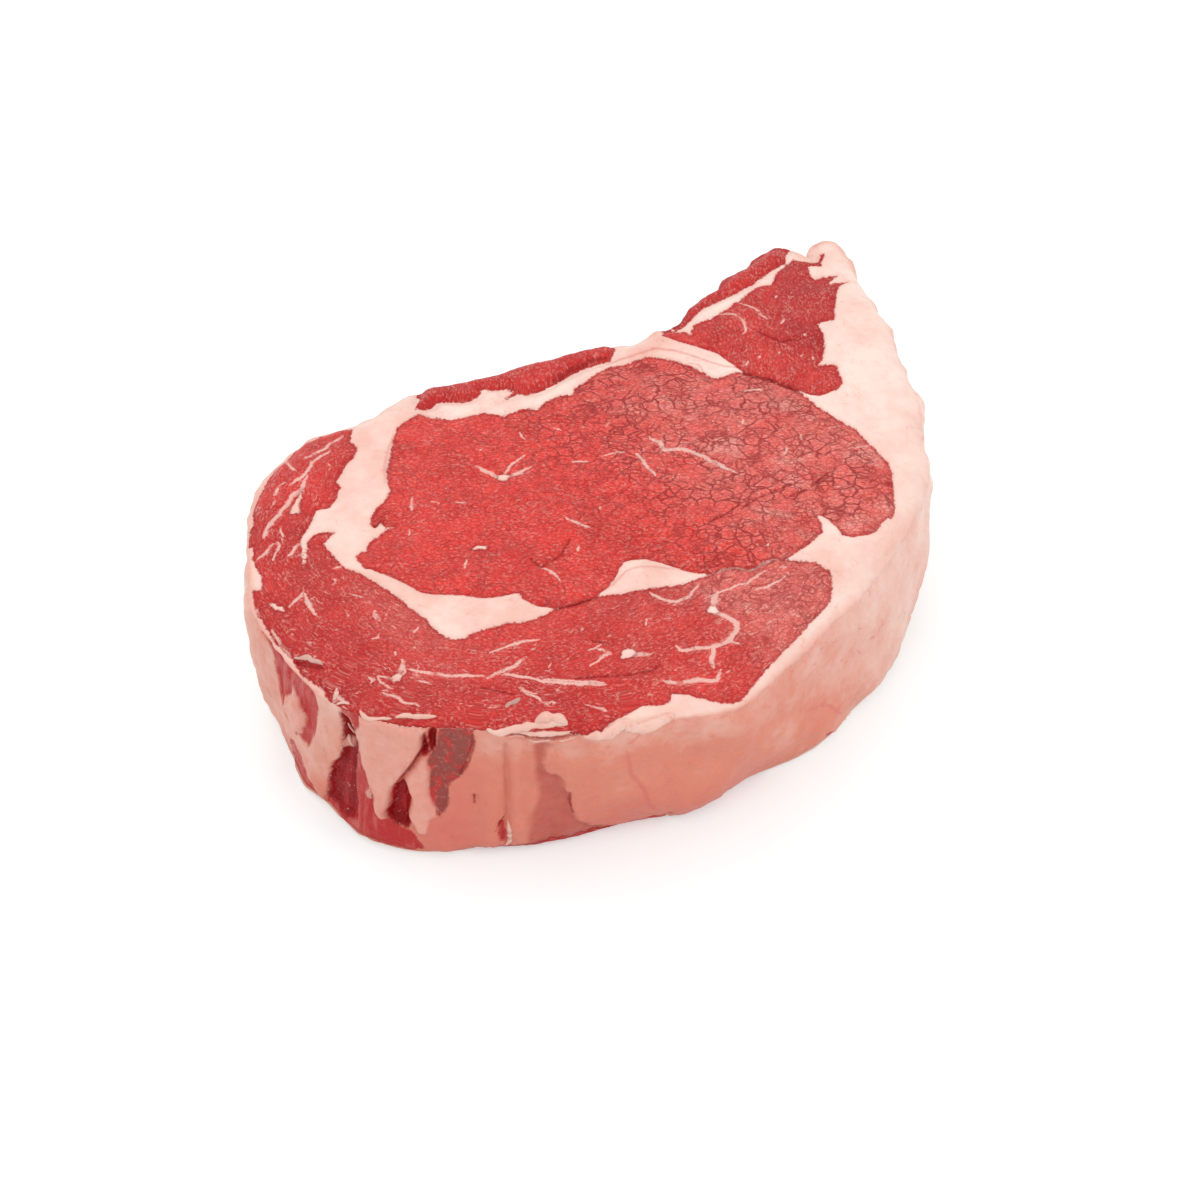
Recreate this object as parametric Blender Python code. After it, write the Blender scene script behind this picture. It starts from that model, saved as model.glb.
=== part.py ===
"""Raw boneless ribeye steak, one solid piece lying on its cut face.

The steak is a loft. Its plan outline is a closed smooth curve through hand-placed stations, and every
station also says how far the wall is set in where it meets the table and how round its upper rim is.
The outline is carried down the wall to the flat underside and inwards over the gently domed upper face.
Metres, +Z up. The origin is the centre of the bounding box, on the table. +X runs along the steak
towards its narrow tail, and the thick fat cap is on the -Y and +X sides.
"""

import math

import bmesh
import bpy
from mathutils import Vector

NAME = "steak"
MM = 0.001

# Driving sizes, in millimetres.
THICKNESS = 35.0            # upper face above the table, over the eye muscle
FRONT_DROP = 4.0            # how far the upper face falls away towards the fat side (-Y)
TAIL_DROP = 2.5             # ... towards the tail (+X)
HEAD_DROP = 2.5             # ... towards the broad end (-X)
BACK_DROP = 1.5             # ... towards the chain side (+Y)
FOOT_ROUND = 2.5            # rounding where the wall turns into the underside
SAMPLES_PER_STATION = 2     # curve points from one station to the next
FOOT_STEPS = 2              # rows of faces round the foot
WALL_STEPS = 5              # rows of faces up the wall
RIM_STEPS = 3               # rows of faces round the upper rim
HUB = Vector((10.0, 2.0))   # the point that the rows of the upper face close in on
FACE_ROWS = (0.93, 0.84, 0.72, 0.58, 0.43, 0.28, 0.13)   # their sizes, as shares of the rim
SMOOTHING_PER_ROW = 3       # how much each row evens out the notches of the one outside it

# Outline stations, anticlockwise from the front: x, y, undercut at the foot, wall bulge, rim rounding.
STATIONS = (
    (-20.0, -53.5, 7.6, 1.0, 3.0),      # fat cap, lowest corner of the cap muscle
    (-12.0, -52.5, 6.4, 1.0, 3.5),
    (-3.0, -50.8, 3.8, 1.0, 4.0),
    (7.0, -48.4, 1.6, 0.8, 5.0),
    (17.0, -46.6, 1.8, 1.0, 6.0),
    (27.0, -43.4, 1.0, 1.0, 7.0),
    (37.0, -39.0, 0.0, 1.0, 7.0),
    (45.5, -34.2, -0.3, 1.0, 6.5),
    (51.8, -28.4, 0.0, 0.8, 6.0),
    (57.3, -21.2, 0.8, 0.6, 5.0),
    (62.0, -13.0, 1.5, 0.6, 4.5),
    (66.5, -5.5, 1.5, 0.6, 4.0),
    (70.6, 1.0, 1.5, 0.6, 4.0),
    (73.6, 7.5, 1.5, 0.5, 3.5),
    (76.3, 14.5, 1.5, 0.5, 3.5),
    (79.3, 21.5, 1.5, 0.5, 3.0),
    (82.2, 28.5, 1.0, 0.4, 2.5),
    (83.7, 34.0, 0.5, 0.2, 2.0),
    (83.0, 38.8, 0.5, 0.0, 1.5),        # curled fat tip of the tail
    (79.9, 39.6, 0.5, 0.0, 1.2),
    (77.8, 37.6, 0.5, 0.0, 1.0),
    (76.4, 35.6, 0.5, 0.0, 1.0),        # notch
    (75.0, 37.4, 0.5, 0.0, 1.0),
    (75.2, 40.6, 1.0, 0.0, 1.2),
    (72.2, 43.4, 1.5, 0.3, 1.5),        # end of the outer strip of lean
    (67.0, 42.9, 2.0, 0.5, 2.0),
    (60.0, 41.2, 2.0, 0.5, 2.0),
    (52.0, 40.1, 2.0, 0.5, 2.0),
    (44.5, 39.0, 2.0, 0.3, 1.8),
    (38.5, 35.9, 1.5, 0.0, 1.8),        # waist between the tail and the back strip
    (33.0, 37.3, 1.5, 0.3, 2.0),
    (28.5, 37.0, 1.5, 0.3, 2.0),
    (24.5, 40.0, 2.0, 0.5, 2.0),
    (17.0, 42.7, 2.5, 0.8, 2.2),
    (9.0, 45.3, 2.5, 0.8, 2.2),
    (1.0, 47.4, 2.5, 0.8, 2.2),
    (-6.0, 50.4, 2.5, 0.8, 2.2),
    (-12.0, 53.4, 2.0, 0.8, 2.2),
    (-18.0, 55.6, 2.0, 0.6, 2.2),
    (-27.0, 53.6, 2.0, 0.4, 2.0),       # end of the fat seam behind the eye
    (-33.0, 55.9, 2.0, 0.8, 2.5),
    (-40.5, 57.6, 2.5, 1.0, 3.0),
    (-49.0, 55.6, 3.0, 1.0, 3.0),
    (-57.0, 51.2, 3.0, 1.0, 3.0),
    (-64.5, 45.0, 3.0, 1.0, 3.0),
    (-70.5, 38.0, 3.0, 0.9, 3.0),
    (-75.3, 30.6, 2.8, 0.8, 3.0),
    (-79.0, 22.5, 2.8, 0.7, 3.0),
    (-80.6, 13.0, 1.8, 0.6, 3.0),
    (-81.0, 3.0, 1.0, 0.4, 3.0),
    (-79.6, -6.5, 0.6, 0.2, 2.8),
    (-76.3, -13.2, -1.2, 0.2, 2.5),      # corner of the broad end
    (-71.0, -20.5, -1.6, 0.6, 2.5),
    (-63.5, -28.0, 1.0, 0.8, 2.5),
    (-55.0, -35.5, 2.4, 0.8, 2.5),
    (-47.0, -42.0, 5.0, 1.0, 2.5),
    (-37.5, -46.5, 6.5, 1.0, 2.5),
    (-28.5, -50.2, 6.4, 1.0, 2.5),
)

LEAN_RED = (0.46, 0.055, 0.05, 1.0)


def catmull_rom(before, start, end, after, t):
    """The value at share t from start to end of a smooth curve that also passes before and after."""
    return 0.5 * (
        2 * start
        + (end - before) * t
        + (2 * before - 5 * start + 4 * end - after) * t * t
        + (3 * start - before - 3 * end + after) * t * t * t
    )


def outline_samples():
    """The stations and the curve points between them, each as (point, undercut, bulge, rounding)."""
    count = len(STATIONS)
    samples = []
    for i in range(count):
        around = [STATIONS[(i + k) % count] for k in (-1, 0, 1, 2)]
        for step in range(SAMPLES_PER_STATION):
            t = step / SAMPLES_PER_STATION
            x, y, undercut, bulge, rounding = (
                catmull_rom(*values, t) for values in zip(*around)
            )
            samples.append((Vector((x, y)), undercut, bulge, rounding))
    return samples


def outward_normals(points):
    """The unit direction out of an anticlockwise outline at each of its points."""
    count = len(points)
    normals = []
    for i in range(count):
        along = (points[(i + 1) % count] - points[i - 1]).normalized()
        normals.append(Vector((along.y, -along.x)))
    return normals


def smoothed(points, passes):
    """Each point moved towards its neighbours' middle, this many times over."""
    for _ in range(passes):
        count = len(points)
        points = [
            points[i] * 0.5 + (points[i - 1] + points[(i + 1) % count]) * 0.25
            for i in range(count)
        ]
    return points


def fall(value, start, reach):
    """0 before start, then rising with the square of the way to start + reach, where it is 1."""
    return min(max((value - start) / reach, 0.0), 1.0) ** 2


def upper_face_height(point):
    """Height of the upper face above the table at a plan point."""
    return (
        THICKNESS
        - FRONT_DROP * fall(-point.y, 20.0, 35.0)
        - TAIL_DROP * fall(point.x, 50.0, 30.0)
        - HEAD_DROP * fall(-point.x, 50.0, 30.0)
        - BACK_DROP * fall(point.y, 35.0, 20.0)
    )


def wall_profile(height, undercut, bulge, rounding):
    """Points up the wall, as (offset outwards from the outline, height)."""
    profile = []
    for step in range(FOOT_STEPS + 1):
        angle = math.pi / 2 * step / FOOT_STEPS
        inset = FOOT_ROUND * (1 - math.sin(angle))
        profile.append((-undercut - inset, FOOT_ROUND * (1 - math.cos(angle))))
    low, high = FOOT_ROUND, height - rounding
    for step in range(1, WALL_STEPS):
        share = step / WALL_STEPS
        offset = -undercut * (1 - share) ** 1.3 + bulge * math.sin(math.pi * share)
        profile.append((offset, low + (high - low) * share))
    for step in range(RIM_STEPS + 1):
        angle = math.pi / 2 * step / RIM_STEPS
        profile.append((-rounding * (1 - math.cos(angle)), high + rounding * math.sin(angle)))
    return profile


def wall_rings(samples):
    """The rings of points from the underside's edge up to the inner edge of the rim."""
    points = [sample[0] for sample in samples]
    normals = outward_normals(points)
    columns = []
    for (point, undercut, bulge, rounding), normal in zip(samples, normals):
        inner = point - normal * rounding
        height = upper_face_height(inner)
        column = []
        for offset, level in wall_profile(height, undercut, bulge, rounding):
            place = point + normal * offset
            column.append(Vector((place.x, place.y, level)))
        columns.append(column)
    return [list(ring) for ring in zip(*columns)]


def face_rings(rim):
    """The rings of points that carry the upper face in from the rim, each smoother than the last."""
    plan = [Vector((point.x, point.y)) for point in rim]
    rings = []
    for number, share in enumerate(FACE_ROWS, start=1):
        row = smoothed(plan, SMOOTHING_PER_ROW * number)
        ring = []
        for point in row:
            place = HUB + (point - HUB) * share
            ring.append(Vector((place.x, place.y, upper_face_height(place))))
        rings.append(ring)
    return rings


def loft(mesh, rings, middle):
    """Faces between neighbouring rings, a flat face across the first and a fan over the last."""
    vertex_rings = [[mesh.verts.new(point * MM) for point in ring] for ring in rings]
    count = len(vertex_rings[0])
    mesh.faces.new(list(reversed(vertex_rings[0])))
    for lower, upper in zip(vertex_rings, vertex_rings[1:]):
        for i in range(count):
            after = (i + 1) % count
            mesh.faces.new((lower[i], lower[after], upper[after], upper[i]))
    centre = mesh.verts.new(middle * MM)
    last = vertex_rings[-1]
    for i in range(count):
        mesh.faces.new((last[i], last[(i + 1) % count], centre))


def centred(rings, middle):
    """The same points with the origin under the middle of their bounding box."""
    every = [point for ring in rings for point in ring]
    shift = Vector((
        (min(p.x for p in every) + max(p.x for p in every)) / 2,
        (min(p.y for p in every) + max(p.y for p in every)) / 2,
        0.0,
    ))
    return [[point - shift for point in ring] for ring in rings], middle - shift


def meat_material():
    """Moist red lean, which stands for the whole piece."""
    material = bpy.data.materials.new("meat")
    material.use_nodes = True
    shader = material.node_tree.nodes["Principled BSDF"]
    shader.inputs["Base Color"].default_value = LEAN_RED
    shader.inputs["Roughness"].default_value = 0.4
    shader.inputs["Metallic"].default_value = 0.0
    return material


def build_steak(collection):
    """The whole steak as one closed solid."""
    walls = wall_rings(outline_samples())
    rings = walls + face_rings(walls[-1])
    middle = Vector((HUB.x, HUB.y, upper_face_height(HUB)))
    rings, middle = centred(rings, middle)
    shape = bmesh.new()
    loft(shape, rings, middle)
    bmesh.ops.recalc_face_normals(shape, faces=shape.faces)
    data = bpy.data.meshes.new(NAME)
    shape.to_mesh(data)
    shape.free()
    data.shade_smooth()
    data.materials.append(meat_material())
    steak = bpy.data.objects.new(NAME, data)
    collection.objects.link(steak)
    return steak


def main():
    for leftover in list(bpy.data.objects):
        bpy.data.objects.remove(leftover)
    collection = bpy.data.collections.new("ribeye_steak")
    bpy.context.scene.collection.children.link(collection)
    build_steak(collection)


main()
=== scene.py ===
"""Looks of a raw ribeye steak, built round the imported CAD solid.

The steak is one dense closed mesh grown from the CAD solid. Its lean, fat, veins and seams are drawn on a
cutting plan and on an unrolled wall, in millimetres, and are carried by the mesh as relief and as
attributes, which the materials read. Loose strips of fat are swept along paths laid onto it.
"""

import math

import bmesh
import bpy
import numpy as np
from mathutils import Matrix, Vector, noise
from mathutils.bvhtree import BVHTree


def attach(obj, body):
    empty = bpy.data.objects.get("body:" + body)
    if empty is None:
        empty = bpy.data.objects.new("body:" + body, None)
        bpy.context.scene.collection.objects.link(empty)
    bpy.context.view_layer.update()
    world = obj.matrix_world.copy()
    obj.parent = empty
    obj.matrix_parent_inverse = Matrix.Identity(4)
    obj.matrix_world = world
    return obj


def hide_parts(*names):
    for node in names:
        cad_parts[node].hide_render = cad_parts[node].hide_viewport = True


bl_info = {
    "name": "Raw ribeye steak",
    "version": (1, 0, 0),
    "blender": (4, 5, 0),
    "location": "3D View > Sidebar > Steak",
    "description": "Builds a raw ribeye steak with its fat, marbling and trimmed edge",
    "category": "Object",
}

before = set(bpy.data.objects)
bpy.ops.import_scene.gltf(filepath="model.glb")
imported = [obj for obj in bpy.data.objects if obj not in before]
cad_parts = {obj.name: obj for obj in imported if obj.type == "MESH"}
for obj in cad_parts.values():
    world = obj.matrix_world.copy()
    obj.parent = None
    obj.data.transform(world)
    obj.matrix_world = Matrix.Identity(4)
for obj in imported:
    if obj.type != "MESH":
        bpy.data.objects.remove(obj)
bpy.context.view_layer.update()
CAD_NODE = "steak"

MM = 0.001
# The steak's origin on the cutting plan that the outlines below are drawn on.
PLAN_ORIGIN = np.array((1.32, 2.19))
# The wall is unrolled from this point of the plan, anticlockwise, at this height.
WALL_START = np.array((-20.0, -53.5))
WALL_LEVEL = 26.0

# ---------------------------------------------------------------------------------------------------
# The cutting plan: outlines on the upper face, x to the tail and y to the chain side, in mm.
# ---------------------------------------------------------------------------------------------------

EYE = (
    (40, 16), (38.5, 17), (37, 17.3), (35, 17.5), (34, 18.5), (33.4, 21), (32.5, 23.5), (31.2, 26.7),
    (29.5, 29.5), (28.3, 31), (27, 31.9), (23, 32.8), (19.5, 34.3), (16.5, 34.7), (13, 34), (9.5, 33.5),
    (8, 32.1), (7.2, 32.9), (5.5, 33.8), (3.4, 34.1), (1.3, 33.8), (-0.1, 33.3), (-1.4, 34.8),
    (-5.3, 35.6), (-7, 35.8), (-8, 37.1), (-9.1, 38.5), (-11.2, 39.8), (-13.7, 40.8), (-15.8, 42.1),
    (-17, 43.8), (-18.3, 45), (-18.9, 46.7), (-18.7, 47.9), (-22, 47.9), (-25.1, 47.5), (-27.4, 45.6),
    (-29.9, 43.1), (-32.4, 40.4), (-34.5, 38.3), (-36.8, 35), (-37.8, 32.9), (-39.5, 31.7),
    (-42.9, 30.6), (-44.8, 29.6), (-46.3, 28.3), (-46.5, 27.1), (-45.8, 26.7), (-44.2, 27.5),
    (-44.8, 25.4), (-42.9, 24.2), (-45, 24.6), (-48.3, 24.2), (-50.4, 23.8), (-51.5, 22.3), (-52.5, 23),
    (-53.8, 22.5), (-54.6, 21.3), (-54.8, 18.3), (-54, 17.5), (-53.3, 15.8), (-52.1, 13.3),
    (-50.8, 9.2), (-50, 6.7), (-48.3, 4.6), (-46.3, 2.5), (-44.2, 0.6), (-42, -2.3), (-39.2, -4.3),
    (-36.8, -5.3), (-35.8, -6), (-36.2, -7.5), (-35.3, -10.5), (-33, -13.8), (-30, -14.8),
    (-27, -15.5), (-25, -16.2), (-21, -15.3), (-18.5, -14.2), (-16, -12.5), (-14.5, -11.8),
    (-12.5, -12.6), (-10.5, -14.2), (-9.3, -16.3), (-8.2, -18.3), (-6.8, -20.5), (-5, -23),
    (-2.8, -24.8), (0, -25.5), (2, -27), (4, -28.7), (9, -29.3), (10, -30), (12, -30.7), (18, -30.4),
    (21.5, -29.8), (23, -27.5), (24, -25), (24.9, -27), (24.8, -30.5), (24.3, -32.5), (26, -34.2),
    (29, -35.5), (30.5, -35.7), (33, -34.6), (35, -34), (35.5, -34.8), (38, -33), (40, -30),
    (43, -26.5), (44.5, -23.5), (45.2, -20), (45.9, -15), (46.2, -12), (45.5, -7.5), (44.5, -2),
    (44.4, 3), (44.3, 4.5), (43, 8), (42, 10.5), (41, 13),
)

CAP = (
    (-32, 53.5), (-33, 52.5), (-34.8, 50.5), (-35, 47.5), (-37.5, 45.5), (-40, 45), (-42, 43.5),
    (-44.6, 42), (-44.8, 40), (-46.3, 39.2), (-47.5, 37.9), (-50, 36.9), (-52.5, 37.9), (-53.3, 37.3),
    (-55, 36), (-56.7, 35), (-59.6, 33.5), (-60.8, 31), (-62.5, 28.8), (-63.8, 26.5), (-61.9, 28.2),
    (-60, 30.6), (-58.8, 32.4), (-55.8, 32.9), (-53.8, 31.7), (-53, 30.8), (-56.7, 29.6),
    (-56.9, 27.9), (-57.5, 23.8), (-57.7, 22.3), (-57.5, 20.4), (-56, 17.5), (-55.2, 14), (-54.7, 10),
    (-54.4, 5), (-53.9, 0), (-54, -3), (-53.7, -6), (-52.5, -7.8), (-50.5, -8.5), (-48, -8.8),
    (-45, -10.2), (-42, -11), (-40.3, -12.3), (-38, -13), (-35, -13.6), (-33, -13.9), (-30, -14.8),
    (-27, -15.5), (-25, -16.2), (-23.5, -16.8), (-20.5, -18.8), (-17, -19.9), (-14, -21.2),
    (-10, -23.2), (-6, -24.4), (-2.8, -24.8), (0, -25.5), (2, -27), (4, -28.7), (9, -29.3), (10, -30),
    (11.5, -31.2), (13.5, -33), (15.3, -34.8), (15.5, -37), (16.1, -38.2), (14.8, -40.3),
    (12.5, -43), (10.5, -44.2), (9, -44.8), (5, -45.5), (0, -47.1), (-5, -48.2), (-10, -49.5),
    (-14, -50.8), (-18, -52), (-20, -51.8), (-22, -50.5), (-24, -48.3), (-26, -45.5), (-28.5, -43.3),
    (-29.5, -44.8), (-31, -44.5), (-35, -42.5), (-39, -42.6), (-42, -42.3), (-49, -43.5),
    (-52, -40), (-58, -36), (-65, -29), (-72, -22), (-77.5, -13.5), (-80.5, -6), (-79, 0), (-80, 5),
    (-79, 10), (-79, 16), (-77.5, 22), (-77, 27.5), (-75.2, 28), (-74.5, 29), (-73, 27.8),
    (-71, 30.5), (-70.5, 33), (-69.5, 36), (-67.5, 38.5), (-68.5, 39.5), (-68, 42), (-66, 46),
    (-58, 54), (-50, 59), (-40, 61), (-33, 59),
)

TAIL = (
    (34, 35), (34.6, 32.9), (35.6, 30.8), (37.1, 28.3), (38.8, 25.4), (39.6, 23.3), (39.8, 20.4),
    (40, 16), (41, 13), (42, 10.5), (43, 8), (44.3, 4.5), (45, 3), (45.5, 1.8), (47, 0.2), (50, -0.3),
    (51, -0.6), (54, 0.8), (55.3, 4), (56.2, 5.8), (54.5, 7), (53, 7.7), (55, 8.5), (57.5, 10.8),
    (60.3, 14.3), (61.3, 17.2), (63, 17.2), (65.3, 16.3), (67, 18.5), (69.5, 20.8), (71.5, 22.8),
    (74, 24.8), (77, 25.2), (72, 26.7), (75.5, 27.8), (77.3, 28.4), (71.5, 29.8), (72, 32),
    (73.5, 34), (76, 32.6), (77, 34), (79.5, 35.5), (78.6, 36.6), (77.5, 35.2), (76, 34.8),
    (74.5, 35.6), (72.5, 37.6), (70, 37.3), (66, 35.8), (63, 33.5), (60, 34.8), (54, 33.6), (49, 33),
    (45, 32.8), (41.7, 33.8), (40, 32.7), (39, 31.3), (38.1, 35), (36, 36.5),
)

OUTER_STRIP = (
    (38.1, 35), (41, 35.8), (46, 36.8), (50, 36.3), (60, 36.2), (66, 37.3), (70.5, 38), (73, 40.5),
    (75, 41.3), (78, 45), (70, 47), (52, 44), (40, 41), (36.5, 38),
)

BACK_STRIP = (
    (-15.3, 53.3), (-16, 52.1), (-18.9, 50), (-17, 48.3), (-15.8, 47.9), (-14.9, 48.8),
    (-13.3, 48.1), (-11, 45.4), (-9.1, 44.2), (-7, 44), (-5.8, 45), (-5.1, 46.3), (-3.7, 44.2),
    (-0.8, 42.3), (-0.1, 41), (-4.5, 40.4), (0.1, 39.6), (1.3, 38.3), (3.8, 37.7), (10, 37.9),
    (15, 37.8), (19, 36.8), (21.3, 36.2), (23, 37.5), (24.6, 38.8), (27, 44), (10, 51), (-2, 54),
    (-15.5, 60),
)

LEAN = (EYE, CAP, TAIL, OUTER_STRIP, BACK_STRIP)

# Fat that lies inside the lean as a patch.
FAT_PATCHES = (
    ((-57, 40.8), (-55, 39.5), (-54.3, 41), (-51, 44), (-54, 42.6)),
    ((-31, -31.4), (-29.6, -30), (-28, -30.2), (-27.6, -31.8), (-29, -32.4)),
    ((-10.3, -32.5), (-9.3, -31.5), (-8.2, -32.2), (-8.4, -33.6), (-9.4, -33.7)),
    ((-19.6, 21.3), (-18.8, 22.4), (-17.4, 21.6), (-17, 20.6), (-18.6, 20.3)),
    ((-74.1, 24.1), (-73.1, 23.4), (-73.4, 22.4), (-72.4, 21.3), (-72.9, 20.1), (-74, 21.6)),
    ((-68.2, -7.4), (-66.6, -7.2), (-65.8, -8.1), (-67, -9), (-68.4, -8.7)),
    ((-35.2, 9.4), (-34, 9.8), (-32.6, 8), (-33.3, 7.4)),
)

# Marbling: each vein is its width and the points that it runs through.
VEINS = (
    (0.9, (-64.7, 38.2), (-61.5, 40.5), (-57, 42.3), (-52, 44.2), (-48, 46.3)),
    (0.8, (-52.5, 46.5), (-48, 47.2), (-44.5, 49.2), (-40, 50)),
    (0.7, (-56.5, 46.5), (-54, 48), (-52.5, 48.3)),
    (0.6, (-49, 49.5), (-48, 54)),
    (0.6, (-52.5, 52), (-50, 53.7)),
    (0.7, (-69.5, 34.5), (-66, 35), (-64.5, 35.5)),
    (0.6, (-67, 31.8), (-65, 33.5), (-63.5, 35.5)),
    (0.6, (-62, 35.8), (-61, 38)),
    (0.9, (-63.8, 31.3), (-61.5, 31.8), (-59, 32.6)),
    (0.8, (-45, 51.2), (-41, 51.5), (-35, 52.8)),
    (0.7, (-77.5, 18.8), (-78.3, 15), (-79.3, 10)),
    (0.8, (-71.5, 20.3), (-69, 20.8), (-67.5, 21.5)),
    (0.8, (-69.3, 14.5), (-69, 16), (-68.3, 19.5), (-67.8, 21)),
    (0.6, (-62, 18.5), (-61.5, 20)),
    (0.5, (-61.5, 14.5), (-60, 12)),
    (0.5, (-61, 7.5), (-61.5, 5.5)),
    (0.7, (-59.5, 22), (-57.5, 22)),
    (0.9, (-80.5, -4), (-78.3, -3.3), (-77.3, -2.7)),
    (0.7, (-78.3, -3.3), (-77.5, -6.8)),
    (0.6, (-70, -5), (-68, -7.8)),
    (0.9, (-67, -8), (-64.3, -6.5), (-64, -5.5)),
    (0.8, (-64.3, -3.8), (-63.7, -3.2)),
    (0.7, (-64.3, -8), (-62, -11), (-60.3, -14), (-57, -17.2), (-54.3, -19.8)),
    (0.5, (-65, -10), (-63.5, -14)),
    (0.6, (-71.5, -9.5), (-70, -14), (-68.3, -17)),
    (0.9, (-54.5, -20), (-51, -20.5), (-48.5, -21), (-45.5, -20.5)),
    (0.8, (-52, -21), (-48.5, -25), (-44.5, -30), (-40, -33.5), (-38, -35)),
    (0.6, (-51.7, -26), (-49.5, -32.5)),
    (0.5, (-58.3, -2), (-56, -0.7)),
    (0.7, (-50, -15), (-44.5, -16.5), (-40.5, -18)),
    (0.7, (-43.8, -25.2), (-43.2, -24.8)),
    (0.8, (-33.3, -21.6), (-32.7, -21.3)),
    (0.6, (-35, -26.3), (-32, -26.7)),
    (0.6, (-33.5, -26.8), (-32, -29), (-37, -29.8)),
    (0.9, (-28.8, -31.5), (-27.5, -33), (-25.5, -34)),
    (0.6, (-22.5, -28), (-21, -27)),
    (0.8, (-15.8, -21.5), (-15.7, -24.5), (-13.5, -27.2), (-10.5, -27), (-7.5, -25.8)),
    (1.1, (-5.5, -29.5), (-8, -31.5), (-9.3, -32.5), (-8.5, -35), (-7.6, -38), (-8.5, -39.3),
     (-12, -40.4), (-15, -40), (-17, -41.8), (-18.3, -43.3)),
    (0.7, (-12, -40.5), (-10.8, -42.3)),
    (0.8, (-20.7, -35.5), (-20.8, -37), (-18, -38.5), (-15, -40)),
    (0.9, (-27.8, -40.5), (-25.5, -42.7), (-23, -43.5), (-20.5, -45.7), (-19.7, -46.2), (-17.8, -44.8)),
    (0.6, (1, -33.7), (4, -34.3), (8, -34.2)),
    (0.5, (-9, -29.7), (-3, -30.3), (1, -31.3), (6, -30.8)),
    (0.9, (-21, 27), (-20, 24.3), (-18.5, 21.3), (-15.5, 20.2), (-12, 20.1)),
    (0.6, (-17.8, 21.8), (-14.5, 23.2), (-11, 23.3)),
    (0.6, (-30.5, 21.5), (-28.8, 19.8)),
    (0.5, (-33.8, 24.5), (-33, 24.2), (-32.8, 23)),
    (0.6, (-38.3, 25.3), (-35.8, 28.3)),
    (0.5, (-43, 20), (-41.5, 21.5)),
    (0.6, (-40, 5.5), (-38.3, 7.3)),
    (0.7, (-8.5, 27.3), (-8.1, 29.3)),
    (0.8, (-16.3, 3.8), (-15.2, 1), (-14.3, -1)),
    (0.6, (-9.5, 1.5), (-8.8, 2.3)),
    (0.6, (-5, 16.7), (-1.8, 14.3)),
    (0.6, (1, 13.5), (5, 11.5)),
    (0.9, (6.3, 9.8), (5.7, 6), (5, 2.2)),
    (0.6, (-1.8, 26.5), (-1, 24.5)),
    (0.9, (11.3, 11.7), (12.5, 9.5), (11.5, 7), (14, 5.5), (15.5, 3), (16.5, 0), (17.5, -3.5),
     (18.3, -6.5)),
    (0.6, (35.5, 10.3), (38.5, 8.3)),
    (0.8, (7.2, 20.1), (7.8, 20.5)),
    (0.8, (28.8, 3.3), (29.2, 3.7)),
    (0.8, (41.7, -8.8), (42.3, -8.2)),
    (0.8, (-19.8, -4.2), (-19.2, -3.8)),
    (0.8, (10.2, -26.4), (10.8, -26)),
    (0.7, (-17.3, 30.1), (-16.7, 30.5)),
    (0.6, (-28.3, -3), (-27.7, -7), (-27.8, -9)),
    (0.6, (29.5, -9), (31.2, -8)),
    (0.6, (35, -7.6), (36, -6.6)),
    (0.6, (41, -15.7), (45.3, -16.8)),
    (0.6, (47.5, 33), (50.3, 30), (50.2, 28), (48, 24.8), (47, 24.5)),
    (0.5, (53.3, 33), (54.3, 29), (54, 25)),
    (0.7, (41.9, 17.1), (42.5, 17.5)),
    (0.7, (44.7, 16.5), (45.3, 16.9)),
    (0.6, (48.8, 14.8), (49.3, 15.2)),
    (0.7, (51.8, 11.2), (52.3, 11.8)),
    (0.7, (53.2, 9.3), (53.8, 9.7)),
    (0.7, (56.4, 15.8), (57, 16.2)),
    (0.7, (57, 23.5), (56.2, 22.2), (55, 21.5)),
    (0.7, (60.2, 29.3), (60.8, 29.7)),
    (0.5, (-2.8, -24.8), (0, -25.5), (2, -27), (4, -28.7), (9, -29.3), (10, -30)),
    (0.5, (-51.5, -26), (-50.8, -27.4), (-49.9, -29)),
    (0.6, (-46.5, -26.6), (-45.3, -28.3), (-43.1, -30.2), (-40.4, -32.6), (-37.8, -34.7)),
    (0.4, (-63.1, 2.5), (-64.1, 1.4), (-65.2, 2)),
    (0.5, (-69.9, -5.1), (-70.2, -7), (-69.6, -9.9)),
    (0.5, (-60.6, 8.1), (-60.6, 6.5), (-61.4, 4.7)),
    (0.7, (-71.4, -4.5), (-71.2, -5.3), (-71.5, -6.1)),
    (0.6, (-64.2, -6.5), (-65.1, -8.1), (-67.5, -8.2)),
    (0.7, (-49.3, -31.7), (-48.5, -33)),
    (0.5, (-44.4, -36.8), (-43.4, -38.2), (-41.9, -39.8)),
)

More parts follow.
